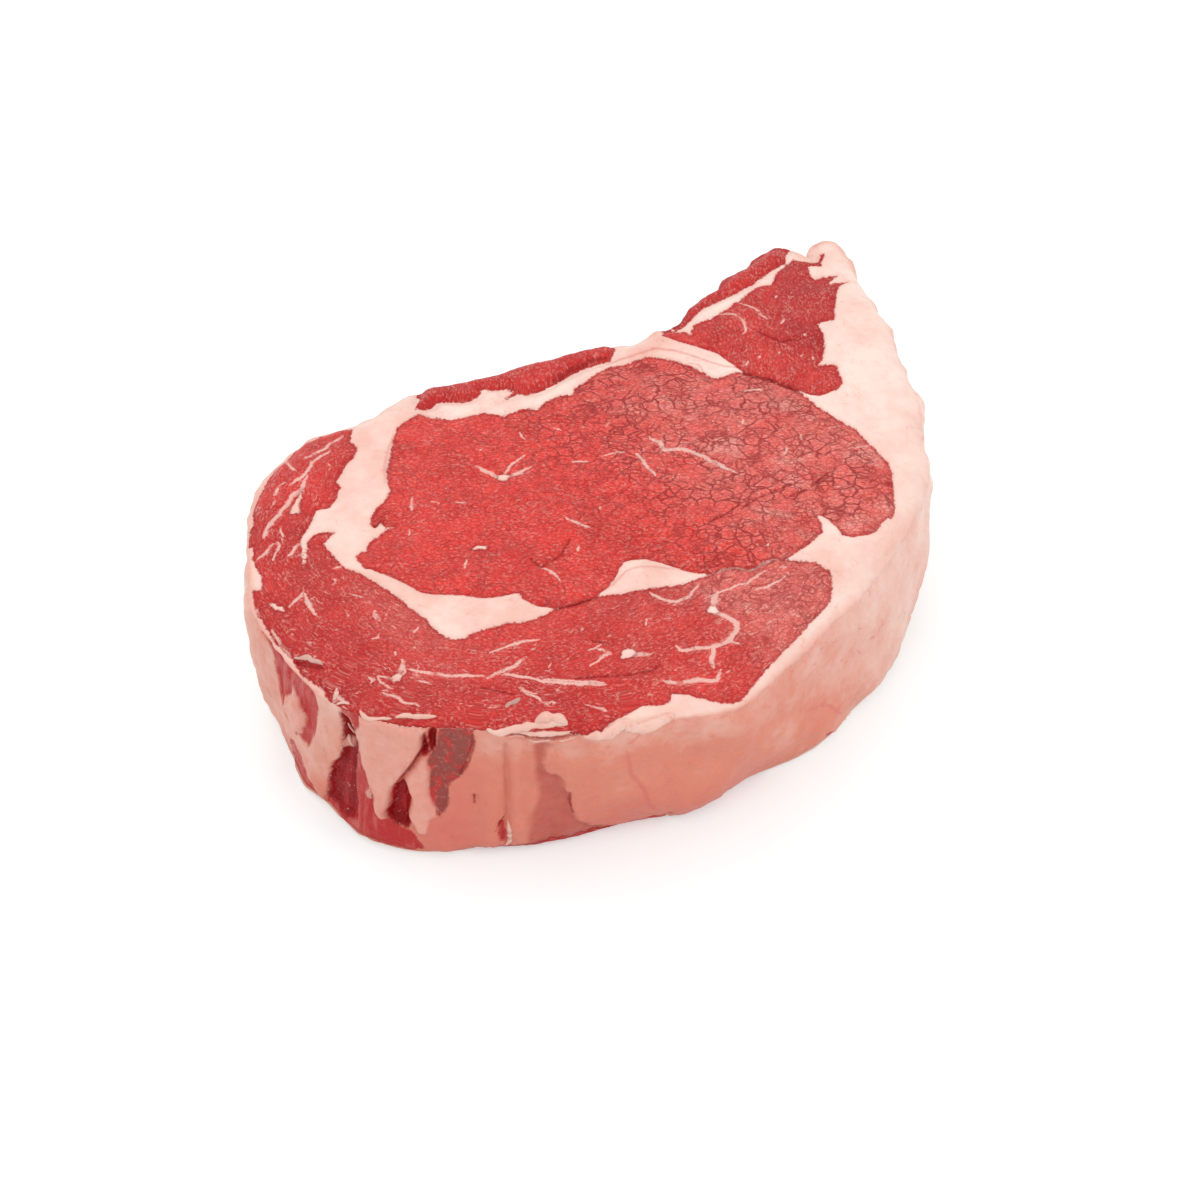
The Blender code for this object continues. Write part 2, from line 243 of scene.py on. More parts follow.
# Thin strips of fat that stand up from the steak: each is its width, its thickness and its points.
RIM_STRIPS = (
    (1.7, 1.3, (-62.4, -30.0), (-60.5, -30.7), (-58, -32.3), (-55.5, -34), (-53, -35.7), (-51, -36.9),
     (-49.6, -38)),
    (2.4, 0.9, (-54.4, -34.4), (-52.4, -34.6), (-50.4, -36.2), (-49.4, -38)),
    (1.0, 0.8, (-78.3, -10), (-77, -11.2), (-76.2, -12.4), (-75, -13.4), (-73.6, -15.2)),
    (1.1, 0.8, (-73.2, -15.6), (-71.7, -16.6), (-70.2, -18.2), (-68.8, -19.6), (-67.4, -21.2)),
    (2.6, 1.2, (-49.6, -42.3), (-46.8, -43.1), (-43.9, -43.7), (-41, -44.5), (-38, -45.4),
     (-34.5, -46.6), (-31, -48)),
    (0.9, 0.8, (-80, -3.9), (-78.6, -3.6), (-77.2, -3)),
    (0.7, 0.6, (-78.9, -4.6), (-78, -5.4), (-77.4, -7)),
    (0.9, 0.7, (8.6, 46.6), (10.2, 46.9), (11.8, 46.3)),
    (0.9, 0.8, (74.4, 35.6), (76.3, 34.6), (78.6, 36.2)),
)

GREY_STRIPS = (
    (1.2, 0.6, (-78.2, 9.9), (-77.5, 8.4), (-76.6, 7.2), (-76.6, 6.2), (-75.9, 4.9), (-75.7, 3.8)),
    (0.9, 0.35, (-56.4, -28.3), (-55.5, -27.7), (-54.2, -28.1), (-52.8, -27.9)),
)

WALL_STRIPS = (
    (1.1, 0.9, (-46.5, 32.4), (-43.5, 32.9), (-40, 33), (-37, 32.9), (-34.5, 32.8), (-33, 32.9)),
    (0.45, 0.4, (-45, 31.6), (-42.5, 31.8), (-40, 31.6), (-37.5, 31.8), (-34.5, 31.7), (-31.5, 31.9)),
    (1.0, 0.9, (-45.3, 9), (-44.9, 6.5), (-45.1, 3.5), (-45.8, 2)),
    (0.8, 0.7, (-77.9, 23.3), (-77.4, 21.8), (-76.7, 20.5)),
    (0.6, 0.5, (-78.3, 26.5), (-77.5, 24.8), (-76.5, 23.2)),
    (0.5, 0.5, (-71.9, 14.4), (-71.5, 13), (-71.6, 11.4)),
    (0.7, 0.5, (61.5, 3.4), (63, 3.9), (64.4, 3.2)),
    (0.7, 0.5, (33, 1.5), (34.5, 2.1), (36, 1.6)),
)

# Dark seams and cracks in the lean; one of them is a crease whose dark colour is painted shadow.
CRACKS = (
    (0.5, (-41.5, -30.5), (-37, -33), (-32, -36), (-28, -37.2), (-26, -37)),
    (0.4, (-33, -24.5), (-30.5, -27)),
    (0.45, (-28.3, 0), (-28.3, -3.3), (-23, -3), (-19, -0.8)),
    (0.45, (4, -14.2), (9, -14.9), (13, -14.5)),
    (0.5, (12, -15.8), (18, -15.1), (25, -15.8)),
    (0.5, (22, -18.2), (27, -18.9), (33, -18.3)),
    (0.6, (50, 23), (51.5, 17.5), (55, 15.5)),
    (0.8, (40, 16), (41, 13), (42, 10.5), (43, 8), (44.3, 4.5)),
    (0.5, (-33, -13.9), (-30, -14.8), (-27, -15.5), (-25, -16.2)),
    (0.7, (8, 38.3), (13, 38.7), (18, 38.1), (21, 37.2)),
    (0.5, (-46.3, 27.1), (-44.2, 27.5)),
    # The crease under the grey strip: partly real, sunk into the mesh, and its dark red is painted shadow
    # under the strip.
    (1.1, (-78.7, 8.6), (-78.1, 6.8), (-77.2, 4.9), (-76.2, 3.4)),
    (0.4, (-57.1, -20.6), (-54.5, -24.3), (-53.1, -26.4)),
)

# Pink folds in the fat.
FAT_FOLDS = (
    (0.5, (-24.5, -15.9), (-20, -15.6), (-16, -14.4), (-13, -15.5), (-10.5, -17.5), (-8, -19.8)),
    (0.6, (20, 36), (25, 33.8), (30.3, 32.6), (33, 29), (35.5, 24), (38, 19.5), (40, 17.5)),
    (0.4, (32.5, 24.8), (34, 23), (33.5, 20.5)),
    (0.5, (-27, 46), (-30, 43.8), (-34, 39.8), (-37.5, 35)),
    (0.5, (69.8, 20), (70.5, 19.6)),
    (0.5, (-6.2, 36.2), (-5.8, 36.8)),
)

# The middle of the cap muscle, whose fibres run along it.
CAP_SPINE = (
    (-24, 64), (-40, 55), (-52, 46), (-62, 37), (-67, 26), (-68, 14), (-66, 2), (-61, -9),
    (-54, -19), (-45, -27), (-34, -33), (-20, -36), (-5, -38), (14, -39),
)

# ---------------------------------------------------------------------------------------------------
# The unrolled wall: how far along it, from the lowest corner of the cap, and the height, in mm.
# ---------------------------------------------------------------------------------------------------

WALL_DARK = (
    ((-79.2, 30.2), (-77.2, 29.6), (-75.9, 27), (-75.2, 24), (-75.1, 20.5), (-75.4, 16.5),
     (-75.3, 12.5), (-74.4, 8.5), (-74.4, 4.5), (-77, 2.5), (-80, 3.5), (-84, 2.8), (-83, 6),
     (-82.6, 9.5), (-81.8, 12.7), (-81.2, 15), (-79.6, 18), (-79, 20.7), (-78.6, 24.5), (-78.8, 27)),
    ((-65, 19.3), (-64.3, 15.3), (-63.4, 12), (-63.3, 9), (-64.2, 7.3), (-66.5, 7), (-68.2, 8),
     (-68.7, 10), (-68.2, 13), (-66.8, 16.5)),
    ((-60.9, 31), (-60.3, 28.2), (-60.3, 25.4), (-62.2, 24.9), (-63.5, 22.5), (-64.6, 20.2),
     (-65.3, 19.6), (-63.3, 23), (-62.4, 26.8), (-61.6, 29)),
    ((-60.2, 33.5), (-58.6, 33.2), (-58.4, 28.8), (-59.2, 26.5), (-60.3, 25.6), (-60.4, 29)),
)

WALL_RED = (
    ((-75.1, 22), (-74, 20.5), (-72.3, 17.3), (-71.3, 14), (-70.3, 10.2), (-69.3, 8.3), (-68, 7.9),
     (-66, 7.2), (-63.5, 7.2), (-62, 5.5), (-61, 2.5), (-61.5, -1), (-84, -1), (-84.5, 3), (-80, 4),
     (-75, 4.5), (-74.6, 9), (-75.5, 13)),
    ((-80, 32.5), (-74.2, 33.5), (-74.4, 29), (-75.6, 26.8), (-76.8, 29.6), (-78.5, 30.4)),
    ((-110, 33), (-106, 31.8), (-103.5, 30), (-101.5, 27.5), (-101, 24.5), (-99.6, 21.5), (-97.3, 18.5),
     (-95, 16.2), (-92, 14.6), (-91.4, 16), (-93.8, 17.3), (-95.6, 19.6), (-96, 22),
     (-93.6, 24.3), (-93, 27.5), (-92.5, 25.8), (-91.3, 25.3), (-90.5, 26), (-89.8, 24),
     (-88.6, 23.5), (-88.3, 19.5), (-89.3, 17.2), (-91, 16.3), (-88, 14.8),
     (-86.3, 17.3), (-85.4, 20.5), (-85.2, 24), (-84.4, 28), (-85.5, 31), (-88, 32.3), (-97, 33)),
    ((-98, -1), (-98.5, 4), (-96, 9.5), (-93.5, 11.5), (-91, 9), (-89, 5), (-86.5, 5.3), (-85.5, 2),
     (-85, -1)),
    ((-46.6, 9), (-45.4, 9), (-45.1, 5.5), (-45.4, 3), (-46.7, 3.3), (-46.9, 6)),
    ((-14.5, 3), (-12.5, 3.5), (-11.5, 1), (-14, 0.5)),
    ((25.8, 3.9), (27.5, 3.9), (29.3, 1.2), (27.5, 0.8)),
)

WALL_SILVER = (
    ((-58.2, 34), (-53, 34.5), (-51.7, 33), (-51.5, 29.5), (-52.2, 26.3), (-53, 23.3), (-54.3, 20.3),
     (-56, 19.3), (-56, 16.7), (-56.7, 14.7), (-57.7, 12), (-58.5, 11.3), (-60, 15), (-60, 19.3),
     (-60.2, 24), (-60, 25.3), (-58.3, 28.3)),
)

WALL_FILM = (
    ((-40, 31), (-36.5, 30.6), (-37.7, 28.7), (-38.6, 26), (-38, 23.3), (-37.6, 22.6), (-35.7, 21.3),
     (-34.8, 19.7), (-34, 17.3), (-33.2, 15.8), (-33.5, 13.7), (-33.2, 11.7), (-32.5, 9.3),
     (-31.7, 7.3), (-30.7, 6), (-28, 4), (-24.7, 2.5), (-20, 1), (-20, -1), (-42, -1), (-41, 8),
     (-39.5, 15), (-39.6, 24)),
)

WALL_PALE = (
    ((-74, 33.3), (-70, 33.9), (-60.3, 34.8), (-60.8, 31.3), (-62, 27.3), (-62.7, 25), (-65, 20),
     (-66.8, 16.7), (-67.8, 13.3), (-68.7, 9.7), (-68, 7.8), (-69.3, 8.3), (-70.3, 10), (-71.2, 14),
     (-72, 17), (-73.5, 20.7), (-74.2, 24), (-74.2, 28)),
    ((-60.7, 24.7), (-60.2, 19.3), (-60, 14.7), (-58.7, 11.7), (-59.7, 9.7), (-60.3, 6.7), (-62, 7),
     (-63, 9.7), (-63.3, 12.3), (-64.3, 15.7), (-64.5, 19.3), (-63.3, 22.3), (-61.7, 24.7)),
    ((-79, 21.6), (-78.2, 22.9), (-77, 22.2), (-76.6, 20.6), (-77.6, 20), (-78.8, 20.4)),
    ((-72.6, 13.2), (-72, 14.5), (-71.3, 13.8), (-71.2, 11.8), (-72, 11.5)),
    ((-95.5, 21.5), (-93, 24), (-90.8, 25), (-89, 23.5), (-88.6, 20), (-89.6, 17.6), (-91.5, 16.8),
     (-93.8, 17.8), (-95.3, 19.8)),
    ((-31, 36), (-31, 31.3), (-28, 30.5), (-26, 31), (-23.3, 32.3), (-20, 33), (-20, 36)),
    ((-4, 32.2), (4, 32), (10, 32.4), (28, 33.4), (28, 31), (18, 30.2), (8, 31), (3, 30.2), (-3, 31)),
)

# Lines on the wall: the long slit, the edges of folds and the faint vessels in the fat.
WALL_SLITS = (
    (0.8, (-51.5, 31.7), (-51.5, 29.3), (-52.2, 26.3), (-53, 23.3), (-54.2, 20.5)),
    (0.7, (-62.3, 25.2), (-63.6, 22.4), (-65.2, 19.6), (-66.8, 16.4)),
    (1.0, (-58.6, 12.2), (-58.2, 11.2)),
    (0.5, (-46, 10), (-47.6, 6.6)),
    (0.5, (-46, 33.2), (-43, 33.4), (-38, 33.4), (-33.5, 33.2)),
    (0.9, (-45.5, 32.2), (-42, 32.3), (-38, 32.1), (-34, 32.3), (-31.5, 32.4)),
    (0.5, (-33.3, 16), (-33.4, 13.5), (-32.8, 10)),
    (0.4, (-51.6, 15.5), (-51.5, 13)),
)

WALL_VESSELS = (
    (0.9, (-67.9, 31), (-68.2, 27), (-67.8, 23), (-68.6, 18)),
    (0.8, (-22, 28.2), (-20.8, 28.9), (-19.7, 29.7)),
    (0.9, (-22.3, 26), (-21.3, 18.7), (-19.3, 15.3), (-18, 11.3), (-17.3, 8), (-14.7, 4.7)),
    (0.7, (20, 14.7), (25, 12.3), (27.7, 10.3), (30, 6.7), (31.5, 5)),
    (0.6, (21.5, 26.6), (22.8, 25.9)),
    (0.6, (28.8, 26.5), (30, 26)),
    (0.6, (36.8, 24.3), (38, 23.6)),
    (0.7, (41, 18.3), (42.6, 17.6)),
    (0.6, (37, 18), (38, 16.5)),
    (0.7, (86, 20), (91, 13), (95, 6)),
    (0.8, (64, 33), (70, 33.2), (75, 32)),
)

# ---------------------------------------------------------------------------------------------------
# Measuring on the drawings
# ---------------------------------------------------------------------------------------------------

FAR = 9.0               # mm, stands for "nowhere near"
DRAWN_CLAMP = 3.0       # mm, how far from an edge its distance is still followed
REACH = 1.1             # mm, how far to either side a vein's own offset is kept
CHANNELS = 3            # neighbouring veins go in different channels of an attribute


def nearest_on_line(points, line, closed=False):
    """For each point: distance to the line, signed side of it, and how far along it is."""
    corners = np.array(line, float)
    ends = np.roll(corners, -1, axis=0) if closed else corners[1:]
    starts = corners if closed else corners[:-1]
    best = np.full(len(points), np.inf)
    side = np.zeros(len(points))
    along = np.zeros(len(points))
    walked = 0.0
    for start, end in zip(starts, ends):
        run = end - start
        length = math.hypot(*run)
        if length == 0:
            continue
        offset = points - start
        share = np.clip(offset @ run / length**2, 0, 1)
        gap = offset - share[:, None] * run
        distance = np.hypot(gap[:, 0], gap[:, 1])
        cross = run[0] * offset[:, 1] - run[1] * offset[:, 0]
        closer = distance < best
        best[closer] = distance[closer]
        side[closer] = np.sign(cross[closer])
        along[closer] = walked + share[closer] * length
        walked += length
    return best, side, along


def inside(points, corners):
    """True for each point within a closed outline."""
    loop = np.array(corners, float)
    crossed = np.zeros(len(points), bool)
    x, y = points[:, 0], points[:, 1]
    for (ax, ay), (bx, by) in zip(loop, np.roll(loop, -1, axis=0)):
        if ay == by:
            continue
        spans = (ay > y) != (by > y)
        crossed ^= spans & (x < (bx - ax) * (y - ay) / (by - ay) + ax)
    return crossed


def depth_inside(points, outlines):
    """Distance into the nearest of some closed outlines: above 0 inside, below 0 outside, in mm."""
    depth = np.full(len(points), -FAR)
    for corners in outlines:
        low = np.min(corners, axis=0) - DRAWN_CLAMP
        high = np.max(corners, axis=0) + DRAWN_CLAMP
        near = np.all((points > low) & (points < high), axis=1)
        if not near.any():
            continue
        close = points[near]
        distance, _, _ = nearest_on_line(close, corners, closed=True)
        signed = np.where(inside(close, corners), distance, -distance)
        depth[near] = np.maximum(depth[near], signed)
    return depth


def line_fields(points, lines):
    """For lines given as (width, points...): signed offset and half width, in three channels each."""
    offset = np.full((len(points), CHANNELS), FAR)
    half = np.full((len(points), CHANNELS), -1.0)
    for number, (width, *line) in enumerate(lines):
        channel = number % CHANNELS
        low = np.min(line, axis=0) - REACH
        high = np.max(line, axis=0) + REACH
        near = np.flatnonzero(np.all((points > low) & (points < high), axis=1))
        if not len(near):
            continue
        distance, side, along = nearest_on_line(points[near], line)
        keep = (distance < REACH) & (distance < np.abs(offset[near, channel]))
        near, distance, side, along = near[keep], distance[keep], side[keep], along[keep]
        length = sum(math.dist(a, b) for a, b in zip(line, line[1:]))
        end_gap = np.minimum(along, length - along)
        taper = 0.55 + 0.45 * np.clip(end_gap / 3.0, 0, 1)
        offset[near, channel] = distance * np.where(side == 0, 1, side)
        half[near, channel] = width / 2 * taper
        beyond = (end_gap <= 0) & (distance > width / 2)
        half[near[beyond], channel] = -0.3
    return offset, half


def soft_noise(points, size, seed):
    """Smooth noise from about -1 to 1 at 3-D points in mm, with lumps of about this size."""
    shift = Vector((seed * 13.7, seed * 7.1, seed * 3.3))
    return np.array([noise.noise(Vector(p) / size + shift) for p in points]) * 1.6


def ease(low, high, value):
    """0 below low, 1 above high and a smooth step between them."""
    share = np.clip((value - low) / (high - low), 0, 1)
    return share * share * (3 - 2 * share)


# ---------------------------------------------------------------------------------------------------
# Settings
# ---------------------------------------------------------------------------------------------------


def srgb(red, green, blue):
    """A linear colour from 0 to 255 screen values."""
    channels = []
    for value in (red, green, blue):
        share = value / 255
        channels.append(share / 12.92 if share <= 0.04045 else ((share + 0.055) / 1.055) ** 2.4)
    return (*channels, 1.0)


def colour_property(name, description, red, green, blue):
    """A colour that the sidebar shows, given as screen values."""
    return bpy.props.FloatVectorProperty(
        name=name, description=description, subtype="COLOR", size=4, min=0.0, max=1.0,
        default=srgb(red, green, blue),
    )


def length_property(name, description, metres):
    """A length that the sidebar shows."""
    return bpy.props.FloatProperty(
        name=name, description=description, default=metres, min=0.0, unit="LENGTH", precision=5,
    )


class SteakShape(bpy.types.PropertyGroup):
    """Sizes of the steak's mesh and of its relief."""

    voxel: length_property("Mesh size", "Edge length of the mesh before its shown sides are refined", 0.0011)
    seam_depth: length_property("Seam depth", "How far the seam between two muscles sinks", 0.0004)
    doming: length_property("Doming", "How far the lean stands up between its seams", 0.0005)
    waviness: length_property("Waviness", "Height of the broad waves in the cut face", 0.0006)
    crack_depth: length_property("Crack depth", "How far the cracks in the lean sink", 0.0004)
    wall_step: length_property("Wall layers", "How far the layers of the trimmed edge stand apart", 0.0013)


class SteakColours(bpy.types.PropertyGroup):
    """Colours of the lean and the fat."""

    lean: colour_property("Lean", "Lean of the eye muscle", 236, 65, 57)
    deep_lean: colour_property("Deep lean", "Lean of the cap and tail", 166, 20, 26)
    # Also the colour of the painted sheen and the painted glints on the lean.
    fleck_and_painted_sheen: colour_property("Fibre ends", "Pale flecks in the lean", 246, 162, 150)
    crack: colour_property("Cracks", "Cracks and seams in the lean", 150, 4, 12)
    fat: colour_property("Fat", "Fat of the cut face", 252, 224, 212)
    fat_pink: colour_property("Pink fat", "Fat of the trimmed edge", 228, 140, 118)
    vein: colour_property("Marbling", "Thin veins of fat in the lean", 246, 196, 184)
    fold: colour_property("Folds", "Folds and vessels in the fat", 216, 106, 98)
    blood: colour_property("Blood", "Lean left on the trimmed edge", 190, 36, 40)
    crevice: colour_property("Crevice", "The deepest red of the trimmed edge", 150, 6, 12)
    silverskin: colour_property("Silverskin", "Lean seen through silverskin", 142, 56, 52)
    cartilage: colour_property("Cartilage", "Strips of cartilage and membrane", 236, 190, 176)
    film: colour_property("Film", "Lean seen through a thin layer of fat", 190, 84, 74)


class SteakStrips(bpy.types.PropertyGroup):
    """Settings of the strips of fat that stand up from the steak."""

    spacing: length_property("Spacing", "Distance between the rings of a strip", 0.0004)
    wander: length_property("Wander", "How far a strip strays from its path", 0.0006)
    seed: bpy.props.IntProperty(name="Seed", description="Changes the waves of the strips", default=3)


# ---------------------------------------------------------------------------------------------------
# Node helpers
# ---------------------------------------------------------------------------------------------------


class Tree:
    """Adds nodes to a node tree, with their inputs linked or set."""

    def __init__(self, tree):
        self.tree = tree

    def add(self, kind, inputs=None, **settings):
        """A new node with these settings. Inputs are keyed by name or number."""
        node = self.tree.nodes.new(kind)
        for name, value in settings.items():
            setattr(node, name, value)
        for key, value in (inputs or {}).items():
            self.feed(node.inputs[key], value)
        return node

    def feed(self, socket, value):
        """Links the value to a socket, or sets it there."""
        if isinstance(value, bpy.types.NodeSocket):
            self.tree.links.new(value, socket)
        else:
            socket.default_value = value

    def math(self, operation, *values):
        """The result of a Math node."""
        return self.add("ShaderNodeMath", dict(enumerate(values)), operation=operation).outputs[0]

    def step(self, value, low, high):
        """0 below low, 1 above high, smooth between."""
        node = self.add("ShaderNodeMapRange", {0: value, 1: low, 2: high}, interpolation_type="SMOOTHSTEP")
        return node.outputs[0]

    def spread(self, value, low, high):
        """A value from 0 to 1 moved to the range from low to high."""
        return self.add("ShaderNodeMapRange", {0: value, 3: low, 4: high}).outputs[0]

    def mix(self, share, first, second):
        """The first colour, turned into the second by this share."""
        node = self.add("ShaderNodeMix", {0: share, 6: first, 7: second}, data_type="RGBA")
        return node.outputs[2]

    def blend(self, share, first, second):
        """The first number, turned into the second by this share."""
        return self.add("ShaderNodeMix", {0: share, 2: first, 3: second}).outputs[0]

    def noise(self, vector, scale, detail=2.0, roughness=0.5):
        """Noise from 0 to 1."""
        inputs = {"Vector": vector, "Scale": scale, "Detail": detail, "Roughness": roughness}
        return self.add("ShaderNodeTexNoise", inputs).outputs["Fac"]

    def bend(self, vector, scale, reach):
        """A vector moved about by noise, up to about half of this reach."""
        noise = self.add("ShaderNodeTexNoise", {"Vector": vector, "Scale": scale, "Detail": 2.0})
        wander = self.vector("SUBTRACT", noise.outputs["Color"], (0.5, 0.5, 0.5))
        wander = self.add("ShaderNodeVectorMath", {0: wander, "Scale": reach}, operation="SCALE")
        return self.vector("ADD", vector, wander.outputs[0])

    def cell_edges(self, vector, scale):
        """Distance to the nearest edge between cells."""
        inputs = {"Vector": vector, "Scale": scale}
        return self.add("ShaderNodeTexVoronoi", inputs, feature="DISTANCE_TO_EDGE").outputs["Distance"]

    def vector(self, operation, *values):
        """The vector result of a Vector Math node."""
        node = self.add("ShaderNodeVectorMath", dict(enumerate(values)), operation=operation)
        return node.outputs[0]

    def attribute(self, name, output="Fac"):
        """An attribute of the mesh."""
        return self.add("ShaderNodeAttribute", attribute_name=name).outputs[output]

    def parts(self, vector):
        """The three numbers of a vector."""
        return self.add("ShaderNodeSeparateXYZ", {0: vector}).outputs


def new_group(name, inputs, outputs):
    """An empty shader node group: its Tree, its input sockets by name, and its output node."""
    group = bpy.data.node_groups.new(name, "ShaderNodeTree")
    for label, kind in inputs:
        group.interface.new_socket(label, in_out="INPUT", socket_type=kind)
    for label, kind in outputs:
        group.interface.new_socket(label, in_out="OUTPUT", socket_type=kind)
    tree = Tree(group)
    entry = group.nodes.new("NodeGroupInput").outputs
    return tree, entry, group.nodes.new("NodeGroupOutput").inputs


VECTOR, NUMBER, COLOUR = "NodeSocketVector", "NodeSocketFloat", "NodeSocketColor"
SURFACE_OUTPUTS = (("Color", COLOUR), ("Roughness", NUMBER), ("Height", NUMBER))


def lean_group():
    """Raw lean: a fine pale grain, dark pores between its fibre bundles, a net of dark cracks, and a painted
    pale sheen with painted glints beside the cracks.
    """
    inputs = (
        ("Flow", VECTOR), ("Depth", NUMBER), ("Crazing", NUMBER), ("Sheen", NUMBER), ("Lean", COLOUR),
        ("Deep", COLOUR), ("Pale", COLOUR), ("Crack", COLOUR),
    )
    tree, entry, leaving = new_group("Raw lean", inputs, SURFACE_OUTPUTS)
    flow = tree.vector("MULTIPLY", entry["Flow"], (0.62, 1.0, 1.0))
    broad = tree.noise(flow, 0.10, 3.0)
    middle = tree.noise(flow, 0.38, 3.0, 0.6)

    # The grain: bundles of fibres 0.7 mm across, seen end on, paler in the middle.
    bent = tree.bend(flow, 1.1, 0.7)
    bundles = tree.cell_edges(bent, 1.35)
    pores = tree.step(bundles, 0.16, 0.02)
    flecks = tree.step(tree.noise(flow, 2.1, 2.0, 0.7), 0.47, 0.66)
    flecks = tree.math("MULTIPLY", flecks, tree.spread(tree.step(middle, 0.35, 0.62), 0.35, 1.0))

    # The cracks: a coarse net that comes and goes, and a finer one between.
    net = tree.vector("MULTIPLY", entry["Flow"], (0.8, 1.0, 1.0))
    wide = tree.cell_edges(tree.bend(net, 0.42, 2.6), 0.36)
    coarse = tree.step(wide, 0.10, 0.015)
    fine = tree.step(tree.cell_edges(tree.bend(net, 0.8, 1.3), 0.78), 0.14, 0.02)
    here = tree.step(tree.noise(entry["Flow"], 0.16, 2.0), 0.36, 0.54)
    coarse = tree.math("MULTIPLY", coarse, tree.math("MULTIPLY", here, entry["Crazing"]))
    there = tree.step(tree.noise(entry["Flow"], 0.27, 2.0), 0.42, 0.60)
    fine = tree.math("MULTIPLY", fine, tree.math("MULTIPLY", there, tree.spread(entry["Crazing"], 0.25, 0.8)))
    cracks = tree.math("MAXIMUM", coarse, fine)

    depth = tree.math("ADD", entry["Depth"], tree.spread(broad, -0.42, 0.42))
    depth = tree.math("ADD", depth, tree.spread(middle, -0.25, 0.25))
    depth.node.use_clamp = True
    colour = tree.mix(depth, entry["Lean"], entry["Deep"])
    # Painted highlight: where the sheen input is high, the lean is made paler, in mottled patches and
    # overall, in place of the glossy highlight of the lamp behind.
    painted_haze = tree.math("MULTIPLY", tree.step(tree.noise(flow, 0.19, 3.0, 0.6), 0.5, 0.72), entry["Sheen"])
    # Painted glints: a pale rim beside the coarse cracks, in place of wet highlights along their edges.
    painted_crack_glints = tree.math("MULTIPLY", tree.step(wide, 0.26, 0.10), tree.math("MULTIPLY", here, entry["Crazing"]))
    painted_haze = tree.math("ADD", tree.math("MULTIPLY", painted_haze, 0.45), tree.math("MULTIPLY", entry["Sheen"], 0.34))
    # The pale share holds the real pale flecks, the painted sheen and the painted crack glints.
    pale = tree.math("ADD", tree.math("MULTIPLY", flecks, 0.56), painted_haze)
    pale = tree.math("ADD", pale, tree.math("MULTIPLY", painted_crack_glints, 0.12))
    pale.node.use_clamp = True
    colour = tree.mix(pale, colour, entry["Pale"])
    colour = tree.mix(tree.math("MULTIPLY", pores, 0.42), colour, entry["Crack"])
    colour = tree.mix(tree.math("MULTIPLY", cracks, 0.8), colour, entry["Crack"])
    height = tree.math("ADD", tree.math("MULTIPLY", flecks, 0.30), tree.math("MULTIPLY", middle, 1.2))
    height = tree.math("SUBTRACT", height, tree.math("MULTIPLY", pores, 0.22))
    height = tree.math("SUBTRACT", height, tree.math("MULTIPLY", cracks, 0.9))
    gloss = tree.spread(tree.noise(flow, 0.25, 3.0, 0.6), 0.30, 0.54)
    gloss = tree.math("SUBTRACT", gloss, tree.math("MULTIPLY", entry["Sheen"], 0.10))
    tree.feed(leaving["Color"], colour)
    tree.feed(leaving["Roughness"], gloss)
    tree.feed(leaving["Height"], height)
    return tree.tree


def fat_group():
    """Raw fat: waxy, faintly lumpy and stained pink in clouds."""
    inputs = (
        ("Place", VECTOR), ("Pinkness", NUMBER), ("Fat", COLOUR), ("Pink", COLOUR), ("Ruddy", COLOUR),
    )
    tree, entry, leaving = new_group("Raw fat", inputs, SURFACE_OUTPUTS)
    clouds = tree.noise(entry["Place"], 0.12, 3.0, 0.6)
    lumps = tree.noise(entry["Place"], 0.55, 2.0)
    threads = tree.math("ABSOLUTE", tree.math("SUBTRACT", tree.noise(entry["Place"], 0.17, 3.0), 0.5))
    threads = tree.math("MULTIPLY", tree.step(threads, 0.012, 0.0), tree.step(lumps, 0.45, 0.6))
    stain = tree.math("ADD", entry["Pinkness"], tree.spread(tree.step(clouds, 0.3, 0.7), -0.1, 0.16))
    stain = tree.math("ADD", stain, tree.spread(lumps, -0.08, 0.08))
    stain = tree.math("ADD", stain, tree.math("MULTIPLY", threads, 0.22))
    first = tree.math("MINIMUM", stain, 1.0)
    first.node.use_clamp = True
    second = tree.math("SUBTRACT", stain, 1.0)
    second.node.use_clamp = True
    colour = tree.mix(first, entry["Fat"], entry["Pink"])
    tree.feed(leaving["Color"], tree.mix(second, colour, entry["Ruddy"]))
    tree.feed(leaving["Roughness"], tree.spread(tree.noise(entry["Place"], 0.3, 3.0), 0.28, 0.56))
    height = tree.math("ADD", tree.math("MULTIPLY", clouds, 1.8), tree.math("MULTIPLY", lumps, 0.8))
    tree.feed(leaving["Height"], height)
    return tree.tree


def place_in_mm(tree):
    """The object's own coordinates, in millimetres."""
    place = tree.add("ShaderNodeTexCoord").outputs["Object"]
    return tree.add("ShaderNodeVectorMath", {0: place, "Scale": 1 / MM}, operation="SCALE").outputs[0]


BUMP_STRENGTH = 0.6
BUMP_DISTANCE = 0.0004              # m, the depth of the fine bumps in the materials


def moist_shader(tree, colour, roughness, height):
    """The Principled shader that all the meat shares: moist, with a little light passing through."""
    bump = tree.add(
        "ShaderNodeBump", {"Height": height, "Strength": BUMP_STRENGTH, "Distance": BUMP_DISTANCE},
    )
    shader = tree.add("ShaderNodeBsdfPrincipled", {
        "Base Color": colour, "Roughness": roughness, "Normal": bump.outputs[0],
        "Subsurface Weight": 0.15, "Subsurface Scale": 0.002, "Subsurface Radius": (1.0, 0.3, 0.2),
        "IOR": 1.35, "Specular IOR Level": 0.4,
    })
    tree.add("ShaderNodeOutputMaterial", {"Surface": shader.outputs[0]})


def new_material(name):
    """An empty material with its Tree."""
    material = bpy.data.materials.new(name)
    material.use_nodes = True
    material.node_tree.nodes.clear()
    return material, Tree(material.node_tree)


